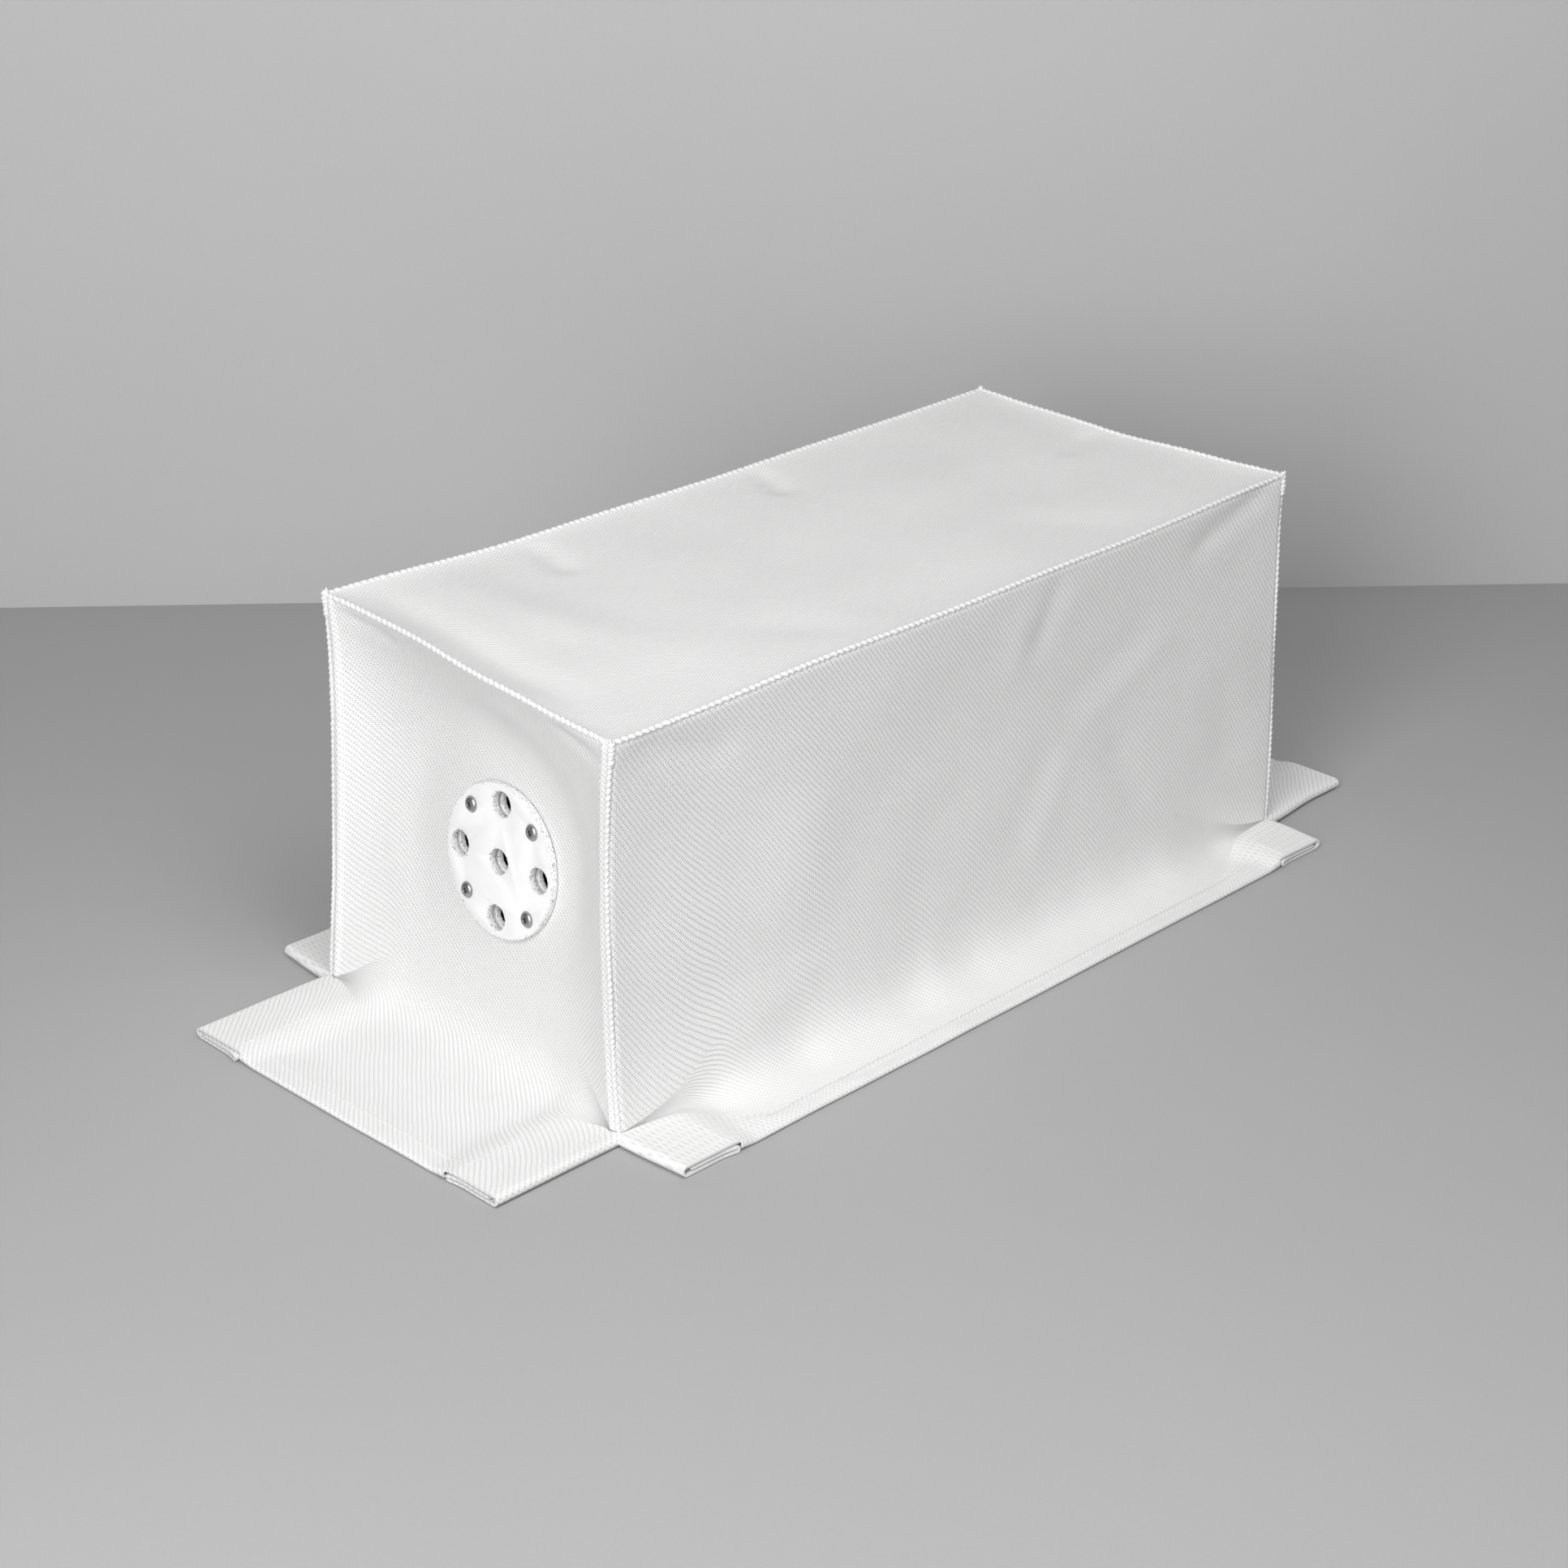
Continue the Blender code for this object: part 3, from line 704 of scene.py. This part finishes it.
def sewn_piece(bm, name, body, mat, node):
    """A piece made of thread, which stands for one node of the frame."""
    ob = new_object(name, shaded_mesh(bm, name), body, mat)
    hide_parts(node)


def interpolated(places, lengths, points):
    """Points at some places along a line whose own points lie at these lengths."""
    return np.stack([np.interp(places, lengths, points[:, axis]) for axis in range(3)], axis=-1)


def resample(points, step):
    """Even points along a line, and how far along it each one lies."""
    lengths = path_lengths(points)
    count = max(3, round(lengths[-1] / step) + 1)
    places = np.linspace(0, lengths[-1], count)
    return interpolated(places, lengths, points), places


def whipped(points, core, pitch, wide, deep, seed, uneven=0.12):
    """A seam: a core with thread whipped round it. Each turn of the thread is a little its own."""
    bm = bmesh.new()
    line, places = resample(points, pitch / 10)
    tangent = unit(np.gradient(line, axis=0))
    side = unit(np.cross(tangent, (0.31, 0.42, 0.85)))  # no seam runs that way
    other = np.cross(tangent, side)
    coarse = slice(None, None, 5)
    sweep(bm, line[coarse], side[coarse], core, core, sides=8)
    wobble = np.array([noise.noise((s / (1.7 * pitch), seed, 0.5)) for s in places])
    angle = 2 * math.pi * (places / pitch + 0.35 * wobble)
    out = np.cos(angle)[:, None] * side + np.sin(angle)[:, None] * other
    lift = core - deep * 0.35 + uneven * core * wobble
    sweep(bm, line + lift[:, None] * out, out, wide * (1 + 0.3 * wobble), deep)
    return bm


def stitched(points, normals, length, pitch, radius):
    """A running stitch: short threads that dip into the cloth at both ends."""
    bm = bmesh.new()
    line, places = resample(points, pitch / 8)
    normal = interpolated(places, np.linspace(0, places[-1], len(normals)), normals)
    count = int(places[-1] / pitch)
    for index in range(count):
        low = (index + 0.15) * pitch
        spots = np.linspace(low, low + length, 6)
        middle = interpolated(spots, places, line)
        away = interpolated(spots, places, normal)
        arch = np.sin(np.linspace(0, math.pi, 6))[:, None]
        bulge = radius * (0.55 + 0.45 * arch[:, 0])
        sweep(bm, middle + away * radius * (1.1 * arch - 0.55), away, bulge, bulge)
    return bm


# ------------ materials

class Nodes:
    """A short way to write a material's node tree."""

    def __init__(self, name):
        self.mat = bpy.data.materials.new(name)
        self.mat.use_nodes = True
        self.tree = self.mat.node_tree
        self.shader = self.tree.nodes["Principled BSDF"]
        self.place = self.add("ShaderNodeTexCoord").outputs["Object"]

    def add(self, kind, inputs=(), **settings):
        """A node; its inputs go by name or number, and are values or other nodes' outputs."""
        node = self.tree.nodes.new(kind)
        for key, value in settings.items():
            setattr(node, key, value)
        for key, value in dict(inputs).items():
            self.put(node.inputs[key], value)
        return node

    def put(self, target, value):
        if isinstance(value, bpy.types.NodeSocket):
            self.tree.links.new(value, target)
        else:
            target.default_value = value

    def flat(self, uv_map):
        """The two places of a UV map."""
        uv = self.add("ShaderNodeUVMap", uv_map=uv_map).outputs[0]
        return self.add("ShaderNodeSeparateXYZ", {0: uv}).outputs

    def math(self, operation, *values):
        return self.add("ShaderNodeMath", enumerate(values), operation=operation).outputs[0]

    def plus(self, first, second):
        return self.math("ADD", first, second)

    def minus(self, first, second):
        return self.math("SUBTRACT", first, second)

    def times(self, first, second):
        return self.math("MULTIPLY", first, second)

    def spread(self, value, low, high, to_low=0.0, to_high=1.0):
        inputs = enumerate((value, low, high, to_low, to_high))
        node = self.add("ShaderNodeMapRange", inputs, interpolation_type="SMOOTHSTEP")
        return node.outputs[0]

    def colour(self, factor, low, high):
        inputs = {0: factor, 6: low, 7: high}
        return self.add("ShaderNodeMix", inputs, data_type="RGBA").outputs[2]

    def noise(self, scale, detail, roughness=0.5):
        inputs = {"Vector": self.place, "Scale": scale, "Detail": detail, "Roughness": roughness}
        return self.add("ShaderNodeTexNoise", inputs).outputs[0]

    def bump(self, height, distance, strength):
        inputs = {"Strength": strength, "Distance": distance, "Height": height}
        return self.add("ShaderNodeBump", inputs).outputs[0]

    def set(self, **values):
        for key, value in values.items():
            self.put(self.shader.inputs[key.replace("_", " ")], value)


def grey(value, warmth=0.0):
    return (value * (1 + warmth), value, value * (1 - warmth), 1.0)


CLOTH_GREY = 0.875
YARN = 1.0 * MM  # from one warp yarn to the next
FLOAT = 3.7 * MM  # length of a float, over its binding point
FLOAT_STEP = 1 / 3  # how far the next yarn's floats are moved on, as a share of a float


def cloth_material():
    """Heavy glass cloth in a satin weave: long floats on one face, moved on yarn by yarn."""
    n = Nodes("glass_cloth")
    flat = n.flat("weave")
    drift = n.minus(n.noise(45.0, 2.0), 0.5)
    across = n.plus(n.math("DIVIDE", flat[0], YARN), n.times(drift, 1.3))
    yarn = n.math("FLOOR", across)
    in_yarn = n.minus(n.math("FRACT", across), 0.5)
    along = n.math("DIVIDE", flat[1], FLOAT)
    along = n.plus(along, n.times(yarn, FLOAT_STEP))
    along = n.plus(along, n.times(drift, 0.4))
    in_float = n.math("ABSOLUTE", n.minus(n.math("FRACT", along), 0.5))
    flank = n.times(n.times(in_yarn, in_yarn), 2.0)
    round_yarn = n.minus(1.0, flank)
    bind = n.spread(in_float, 0.30, 0.5)
    height = n.minus(round_yarn, n.times(bind, 1.3))
    fibre = n.noise(2600.0, 2.0)
    height = n.plus(height, n.times(fibre, 0.25))
    patchy = n.noise(14.0, 3.0, 0.55)
    slub = n.noise(120.0, 2.0)
    # The binding points are painted darker: painted shade in the pits of the weave.
    dip = n.times(bind, n.spread(slub, 0.25, 0.8, 0.55, 1.0))
    tone = n.plus(n.times(patchy, 0.55), n.times(slub, 0.45))
    darker, lighter = grey(CLOTH_GREY - 0.02, 0.002), grey(CLOTH_GREY + 0.02, 0.002)
    base = n.colour(n.spread(tone, 0.3, 0.7), darker, lighter)
    base = n.colour(n.times(dip, 0.7), base, grey(CLOTH_GREY * 0.70))
    n.set(Base_Color=base, Roughness=n.spread(patchy, 0.2, 0.8, 0.56, 0.68))
    n.set(Normal=n.bump(height, 0.26 * MM, 0.9))
    n.set(Sheen_Weight=0.12, Sheen_Roughness=0.5, Specular_IOR_Level=0.35)
    return n.mat


def thread_material():
    """White glass thread: fine slanting plies and a soft fuzz."""
    n = Nodes("sewing_thread")
    plies = n.add("ShaderNodeTexWave", {"Vector": n.place, "Scale": 900.0, "Distortion": 2.5},
                  wave_type="BANDS", bands_direction="DIAGONAL")
    fuzz = n.noise(1800.0, 3.0)
    height = n.times(plies.outputs["Fac"], 0.7)
    height = n.plus(height, n.times(fuzz, 0.5))
    base = n.colour(n.spread(fuzz, 0.3, 0.7), grey(0.78), grey(0.86))
    n.set(Base_Color=base, Roughness=n.spread(fuzz, 0.2, 0.8, 0.5, 0.66))
    n.set(Normal=n.bump(height, 0.08 * MM, 0.6), Sheen_Weight=0.1)
    return n.mat


def board_material():
    """Dense white board: a smooth face, and cut edges that show dark grains."""
    n = Nodes("vent_board")
    flat = n.flat("face")

    def from_edge(centre, radius, outside):
        off_x, off_y = n.minus(flat[0], centre[0]), n.minus(flat[1], centre[1])
        square = n.plus(n.math("POWER", off_x, 2.0), n.math("POWER", off_y, 2.0))
        away = n.math("POWER", square, 0.5)
        return n.minus(away, radius) if outside else n.minus(radius, away)

    nearest = from_edge((0, 0), PLATE_RADIUS, False)
    for centre in hole_places():
        nearest = n.math("MINIMUM", nearest, from_edge(centre, HOLE_RADIUS, True))
    wander = n.times(n.minus(n.noise(260.0, 3.0), 0.5), 2.2 * MM)
    closeness = n.spread(n.plus(nearest, wander), 0.0, 1.5 * MM, 1.0, 0.0)
    grains = n.noise(1500.0, 2.0, 0.65)
    coarse = n.noise(620.0, 3.0, 0.7)
    speck = n.spread(n.plus(grains, n.times(coarse, 0.8)), 0.97, 1.10)
    stray = n.spread(coarse, 0.71, 0.76)
    dark = n.math("MAXIMUM", n.times(speck, closeness), n.times(stray, 0.55))
    # Painted shade: a dark ring round each rivet's head, where it meets the board.
    for centre in rivet_places():
        from_ring = n.math("ABSOLUTE", from_edge(centre, RIVET_SHADE_RING, True))
        ring = n.spread(from_ring, 0.0, 0.7 * MM, 0.75, 0.0)
        dark = n.math("MAXIMUM", dark, ring)
    bulk = n.noise(60.0, 3.0)
    face = n.colour(n.spread(bulk, 0.3, 0.7), grey(0.90), grey(0.94))
    base = n.colour(n.times(dark, 0.92), face, grey(0.075))
    pits = n.plus(n.times(coarse, n.plus(closeness, 0.15)), n.times(grains, 0.15))
    n.set(Base_Color=base, Roughness=n.spread(bulk, 0.2, 0.8, 0.62, 0.8))
    n.set(Normal=n.bump(pits, 0.35 * MM, 0.6), Specular_IOR_Level=0.3)
    return n.mat


def metal_material(name, lightness, roughness, scale):
    """Bare metal with fine turned marks and dull patches."""
    n = Nodes(name)
    dull = n.noise(380.0, 3.0)
    grain = n.noise(scale, 2.0)
    base = n.colour(n.spread(dull, 0.3, 0.7), grey(lightness * 0.86), grey(lightness * 1.1))
    n.set(Base_Color=base, Roughness=n.spread(dull, 0.2, 0.8, roughness, roughness + 0.16))
    n.set(Normal=n.bump(grain, 0.03 * MM, 0.5), Metallic=1.0)
    return n.mat


def paper_material(name, lightness, one_sided=False):
    """Matt studio paper with a faint fibre grain. One-sided paper has a clear back."""
    n = Nodes(name)
    cloudy = n.noise(3.0, 2.0)
    fibre = n.noise(420.0, 4.0, 0.7)
    tone = n.plus(n.times(cloudy, 0.4), n.times(fibre, 0.6))
    darker, lighter = grey(lightness * 0.975), grey(lightness * 1.025)
    n.set(Base_Color=n.colour(n.spread(tone, 0.25, 0.75), darker, lighter))
    n.set(Normal=n.bump(fibre, 0.1 * MM, 0.4), Roughness=0.9, Specular_IOR_Level=0.1)
    if one_sided:
        behind = n.add("ShaderNodeNewGeometry").outputs["Backfacing"]
        n.set(Alpha=n.minus(1.0, behind))
    return n.mat


# ------------ vent

def circle_places(count, radius, turn_deg):
    angles = [math.radians(turn_deg) + 2 * math.pi * index / count for index in range(count)]
    return [(radius * math.cos(angle), radius * math.sin(angle)) for angle in angles]


def hole_places():
    return [(0.0, 0.0)] + circle_places(4, HOLE_CIRCLE, 0)


def rivet_places():
    return circle_places(4, RIVET_CIRCLE, 45)


def vent_seat():
    """The seat's own axes: +Z leaves the hood through the plate, +X is up the seat."""
    turn = Matrix.Rotation(VENT_TILT - math.pi / 2, 4, "Y")
    place = Vector((SEAT_DEPTH + CLOTH / 2 - HALF_LENGTH, SEAT_OFFSET, SEAT_HEIGHT))
    return Matrix.Translation(place) @ turn


def rough_cylinder(bm, centre, radius, low, high, segments, rough, seed):
    """A cylinder along Z whose outline wanders a little, as a hand cut does."""
    rings = []
    for level in (low, high):
        ring = []
        for index in range(segments):
            angle = 2 * math.pi * index / segments
            way = Vector((math.cos(angle), math.sin(angle), 0))
            wander = noise.noise((3 * way.x + seed, 3 * way.y, level * 40))
            wander += 0.6 * noise.noise((11 * way.x, 11 * way.y + seed, level * 90))
            ring.append(bm.verts.new(Vector((*centre, level)) + way * (radius + rough * wander)))
        rings.append(ring)
    close_tube(bm, rings)


def hole_cutters(name, margin, rough):
    """Every vent and rivet hole, as one set of closed shapes standing on the seat."""
    reach = PLATE_THICKNESS + BACKING_THICKNESS + 2 * CLOTH
    bm = bmesh.new()
    for index, place in enumerate(hole_places()):
        rough_cylinder(bm, place, HOLE_RADIUS + margin, -reach, reach, 56, rough, 5.0 + index)
    for place in rivet_places():
        rough_cylinder(bm, place, RIVET_SHANK + 0.15 * MM, -reach, reach, 24, 0.0, 0.0)
    ob = shown_object(name, plain_mesh(bm, name))
    ob.matrix_world = vent_seat()
    return ob


def vent_disc(name, low, high, seed, mat, cutters, node):
    """A round plate with its holes and softly broken edges."""
    bm = bmesh.new()
    rough_cylinder(bm, (0, 0), PLATE_RADIUS - 0.15 * MM, low, high, 144, 0.35 * MM, seed)
    mesh = plain_mesh(bm, name)
    mesh.transform(vent_seat())
    ob = new_object(name, mesh)
    cut(ob, cutters)
    mod = ob.modifiers.new("edges", "BEVEL")
    mod.width, mod.segments = 0.35 * MM, 2
    mod.limit_method, mod.angle_limit = "ANGLE", math.radians(40)
    bake(ob)
    back = vent_seat().inverted()
    layer = ob.data.uv_layers.new(name="face")
    for loop in ob.data.loops:
        place = back @ ob.data.vertices[loop.vertex_index].co
        layer.data[loop.index].uv = (place.x, place.y)
    ob.data.materials.clear()
    ob.data.materials.append(mat)
    shade(ob.data, 35)
    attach(ob, HOOD)
    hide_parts(node)


def turned(name, profile, place, segments, mat, node):
    """A round piece on the seat: its (radius, height) profile turned about its own axis."""
    bm = bmesh.new()
    rings = []
    for radius, height in profile:
        if radius == 0:
            rings.append([bm.verts.new((0, 0, height))])
            continue
        rings.append([
            bm.verts.new((radius * math.cos(angle), radius * math.sin(angle), height))
            for angle in np.linspace(0, 2 * math.pi, segments, endpoint=False)
        ])
    closed = profile[0][0] > 0
    pairs = list(zip(rings, rings[1:]))
    if closed:
        pairs.append((rings[-1], rings[0]))
    for first, second in pairs:
        for index in range(segments):
            after = (index + 1) % segments
            corners = [first[index % len(first)], first[after % len(first)],
                       second[after % len(second)], second[index % len(second)]]
            bm.faces.new(list(dict.fromkeys(corners)))
    bmesh.ops.transform(bm, verts=bm.verts, matrix=vent_seat() @ Matrix.Translation((*place, 0)))
    ob = new_object(name, shaded_mesh(bm, name, 40), HOOD, mat)
    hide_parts(node)


def arc(centre, radius, start_deg, end_deg, steps):
    """Points of a round stretch of a profile."""
    angles = [math.radians(start_deg + (end_deg - start_deg) * i / steps) for i in range(steps + 1)]
    return [(centre[0] + radius * math.cos(a), centre[1] + radius * math.sin(a)) for a in angles]


def mm_profile(level, rows):
    """A profile's points from rows in mm: radius, and height over the level."""
    return [(radius * MM, level + height * MM) for radius, height in rows]


def rivet(number, place, rivet_mat, pin_mat):
    """A blind rivet: a domed head with a rolled rim, the broken mandrel in its bore, a washer."""
    face = CLOTH / 2 + PLATE_GAP + PLATE_THICKNESS + PLATE_GAP
    back = -CLOTH / 2 - PLATE_GAP - BACKING_THICKNESS - PLATE_GAP
    washer_low = back - 1 * MM
    bulb_top = washer_low - PLATE_GAP
    bulb_low = bulb_top - 3 * MM
    bore = 1.4 * MM
    head = 3.8 * MM
    top = face + 1.4 * MM
    body = [(bore, bulb_low), (bore, top - 0.45 * MM)]
    body += arc((bore + 0.3 * MM, top - 0.3 * MM), 0.3 * MM, 180, 80, 4)
    body += mm_profile(top, [(2.3, -0.08), (2.55, -0.22), (2.8, -0.24), (3.2, -0.45),
                             (3.55, -0.75)])
    body += arc((head - 0.25 * MM, face + 0.3 * MM), 0.25 * MM, 60, -90, 6)
    body += [(RIVET_SHANK, face), (RIVET_SHANK, bulb_top)]
    body += mm_profile(bulb_top, [(2.9, 0), (2.95, -0.8)])
    body += [(2.6 * MM, bulb_low + 0.8 * MM), (RIVET_SHANK, bulb_low)]
    turned(f"rivet_{number}", body, place, 40, rivet_mat, f"vent_rivet_{number}")
    pin_top = top - 1.2 * MM
    pin = mm_profile(pin_top, [(0, 0.25), (0.35, 0.12), (0.6, 0.2), (0.95, 0), (1.1, -0.15)])
    pin += mm_profile(bulb_low - PLATE_GAP, [(1.1, 0), (1.7, 0)])
    pin += [(1.7 * MM, bulb_low - 1.2 * MM)]
    pin += arc((0, bulb_low - 0.4 * MM), 1.75 * MM, -30, -90, 5)[:-1] + [(0, bulb_low - 2.1 * MM)]
    turned(f"mandrel_{number}", pin, place, 28, pin_mat, f"rivet_mandrel_{number}")
    ring = [(2.3 * MM, back), (4.85 * MM, back)]
    ring += arc((4.8 * MM, back - 0.2 * MM), 0.2 * MM, 60, 0, 3)
    ring += arc((4.8 * MM, washer_low + 0.2 * MM), 0.2 * MM, 0, -90, 3) + [(2.3 * MM, washer_low)]
    turned(f"washer_{number}", ring, place, 40, rivet_mat,
           f"rivet_washer_{number}")


def build_vent(board, rivet_mat, pin_mat):
    cutters = hole_cutters("plate_holes", 0.0, 0.35 * MM)
    low = CLOTH / 2 + PLATE_GAP
    vent_disc("outer_vent_plate", low, low + PLATE_THICKNESS, 2.0, board, cutters, "vent_plate")
    high = -CLOTH / 2 - PLATE_GAP
    vent_disc("inner_vent_plate", high - BACKING_THICKNESS, high, 9.0, board, cutters,
              "backing_plate")
    bpy.data.objects.remove(cutters)
    for number, place in enumerate(rivet_places(), start=1):
        rivet(number, place, rivet_mat, pin_mat)


# ------------ seams and stitches

# Each corner's name and the signs of its x and y.
CORNERS = [("vent_front", -1, -1), ("vent_back", -1, 1), ("plain_front", 1, -1),
           ("plain_back", 1, 1)]


def build_top_seams(mat):
    """The whipped seams round the roof."""
    for index, wall in enumerate(WALLS):
        points = settle(seam_points(wall, np.linspace(-1, 1, 160)))
        bm = whipped(points, 1.1 * MM, 4.2 * MM, 1.2 * MM, 0.75 * MM, 3.3 * index)
        sewn_piece(bm, wall.name + "_whipped_seam", HOOD, mat, wall.name + "_top_seam")


def build_corner_seams(mat):
    """The upright ridges, and the thick bar tacks at their tops."""
    split = HEIGHT - BARTACK_LENGTH
    for index, (name, sign_x, sign_y) in enumerate(CORNERS):
        x = sign_x * (HALF_LENGTH - SEAM)
        y = sign_y * (HALF_WIDTH - SEAM)
        heights = np.linspace(CLOTH, split + 2 * MM, 60)
        sway = SEAM_WAVE * np.sin(heights * 60 + index)
        line = np.stack([x + sway * 0.6, y + sway, heights], axis=-1)
        bm = whipped(settle(line), 1.05 * MM, 3.4 * MM, 1.0 * MM, 0.6 * MM, 17 + index)
        sewn_piece(bm, name + "_ridge", HOOD, mat, name + "_corner_seam")
        heights = np.linspace(split, HEIGHT + 0.6 * MM, 30)
        line = np.stack(np.broadcast_arrays(x, y, heights), axis=-1)
        bm = whipped(settle(line), 1.5 * MM, 2.3 * MM, 1.0 * MM, 0.75 * MM, 31 + index, 0.35)
        sewn_piece(bm, name + "_tack", HOOD, mat, name + "_bartack")


def surface_line(wall, along, heights):
    """Points on the outer face of a wall, and the way out of it."""
    places = wall.outward(np.full(len(heights), along), heights) + CLOTH_THICK / 2
    points = wall.world(np.full(len(heights), along), places, heights)
    out = wall.world(0.0, 1.0 - wall.plane, 0.0)
    return settle(points), np.broadcast_to(out, points.shape)


def build_topstitches(mat):
    """The upright stitch lines beside the corners of the end walls."""
    for corner, sign_x, sign_y in CORNERS:
        wall = WALL["vent_end" if sign_x < 0 else "plain_end"]
        side = -sign_x * sign_y
        along = side * (wall.half - TOPSTITCH_INSET)
        heights = np.linspace(HEIGHT - 10 * MM, FOOT + 6 * MM, 70)
        points, out = surface_line(wall, along, heights)
        bm = stitched(points, out, 3.1 * MM, 4.0 * MM, 0.4 * MM)
        sewn_piece(bm, corner + "_stitches", HOOD, mat, corner + "_topstitch")


def build_hem_stitches(wall, mat):
    """The stitch lines of a flap's three hems, attached to the flap's body."""
    line = wall.half - SEAM - SIDE_HEM + HEM_STITCH_INSET
    first = (38 if wall.is_end else 18) * MM
    across = np.linspace(-(line - 6 * MM), line - 6 * MM, 120)
    lines = [("outer", across, wall.tip(across) - OUTER_HEM + 2 * MM)]
    for part, side in (("left", -line), ("right", line)):
        along = np.full(30, side)
        lines.append((part, along, np.linspace(first, wall.tip(along)[0] - 1.5 * MM, 30)))
    for part, along, outward in lines:
        level = flap_level(wall, along, outward, wall.tip(along)) + CLOTH_THICK / 2
        points = settle(wall.world(along, outward, level))
        up = np.broadcast_to((0.0, 0.0, 1.0), points.shape)
        bm = stitched(points, up, 3.0 * MM, 3.9 * MM, 0.3 * MM)
        name = f"{wall.name}_{part}_hem"
        sewn_piece(bm, name + "_stitches", wall.flap_body, mat, name + "_thread")


# ------------ cloth pieces

def build_walls(mat):
    for wall in WALLS:
        ob = new_object(wall.name + "_cloth", wall_sheet(wall), mat=mat)
        thicken(ob, CLOTH_THICK)
        bake(ob)
        if wall.name == "vent_end":
            cutters = hole_cutters("cloth_holes", 0.4 * MM, 0.5 * MM)
            cut(ob, cutters)
            bpy.data.objects.remove(cutters)
        shade(ob.data, 60)
        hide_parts(wall.name + "_panel", wall.name + "_flap")
        start, end = wall.world(0.0, 2 * MM, 0.0), wall.world(0.0, 24 * MM, 0.0)
        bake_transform(ob)


def build_top(mat):
    ob = new_object("top_cloth", top_sheet(), mat=mat)
    thicken(ob, CLOTH_THICK)
    bake(ob)
    shade(ob.data, 60)
    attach(ob, HOOD)
    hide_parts("top_panel")


# ------------ stage, lights, camera

STAGE_HALF = 4.0
FLOOR_GREY = 0.43
BACKDROP_GREY = 0.55
BACKDROP_YAW = math.radians(47.76)
BACKDROP_DISTANCE = 0.466

# Soft lights round the object: name, azimuth and elevation in degrees, distance, size, power.
LIGHT_AIM = Vector((0, 0, 0.1))
LIGHTS = [
    ("key", -65, 35, 1.6, 0.8, 12.4),
    ("left_fill", -65, 12, 2.6, 1.1, 15.6),
    ("front_fill", -20, 35, 1.6, 0.8, 3.5),
    ("front_top", -20, 60, 1.6, 0.8, 6.9),
]
WORLD_STRENGTH = 0.15


def aim(ob, target, azimuth_deg, elevation_deg, distance):
    """Puts an object at a distance from its target, facing it; azimuth 0 is in front, at -Y."""
    azimuth, elevation = math.radians(azimuth_deg), math.radians(elevation_deg)
    level = math.cos(elevation)
    way = Vector((math.sin(azimuth) * level, -math.cos(azimuth) * level, math.sin(elevation)))
    ob.location = target + distance * way
    ob.rotation_euler = (-way).to_track_quat("-Z", "Y").to_euler()


def paper_plane(name, mat):
    bm = bmesh.new()
    bmesh.ops.create_grid(bm, x_segments=1, y_segments=1, size=STAGE_HALF)
    ob = new_object(name, plain_mesh(bm, name), mat=mat)
    return ob


def build_stage():
    """A floor, and a backdrop that hides nothing from a camera behind it."""
    floor = paper_plane("studio_floor", paper_material("floor_paper", FLOOR_GREY))
    floor.location = (0, 0, -0.1 * MM)
    paper = paper_material("backdrop_paper", BACKDROP_GREY, one_sided=True)
    back = paper_plane("studio_backdrop", paper)
    way = Vector((math.cos(BACKDROP_YAW), math.sin(BACKDROP_YAW), 0))
    back.location = way * BACKDROP_DISTANCE
    back.rotation_euler = (-way).to_track_quat("Z", "Y").to_euler()


def build_lights():
    for name, azimuth, elevation, distance, size, power in LIGHTS:
        data = bpy.data.lights.new(name, "AREA")
        data.shape, data.size, data.energy = "DISK", size, power
        aim(shown_object(name, data), LIGHT_AIM, azimuth, elevation, distance)
    world = bpy.data.worlds.new("studio")
    world.use_nodes = True
    background = world.node_tree.nodes["Background"]
    background.inputs[0].default_value = (1.0, 1.0, 1.0, 1.0)
    background.inputs[1].default_value = WORLD_STRENGTH
    bpy.context.scene.world = world


def build_camera():
    data = bpy.data.cameras.new("camera")
    data.lens = LENS
    data.sensor_width = SENSOR
    data.clip_start, data.clip_end = 0.05, 20
    ob = shown_object("camera", data)
    aim(ob, CAMERA_TARGET, CAMERA_AZIMUTH, CAMERA_ELEVATION, CAMERA_DISTANCE)
    bpy.context.scene.camera = ob


def build():
    cloth = cloth_material()
    thread = thread_material()
    board = board_material()
    rivet_mat = metal_material("rivet_aluminium", 0.46, 0.34, 1500.0)
    pin_mat = metal_material("mandrel_steel", 0.30, 0.42, 1200.0)
    build_top(cloth)
    build_walls(cloth)
    build_top_seams(thread)
    build_corner_seams(thread)
    build_topstitches(thread)
    for wall in WALLS:
        build_hem_stitches(wall, thread)
    build_vent(board, rivet_mat, pin_mat)
    build_stage()
    build_lights()
    build_camera()
    bpy.context.scene.view_settings.view_transform = "Standard"


build()
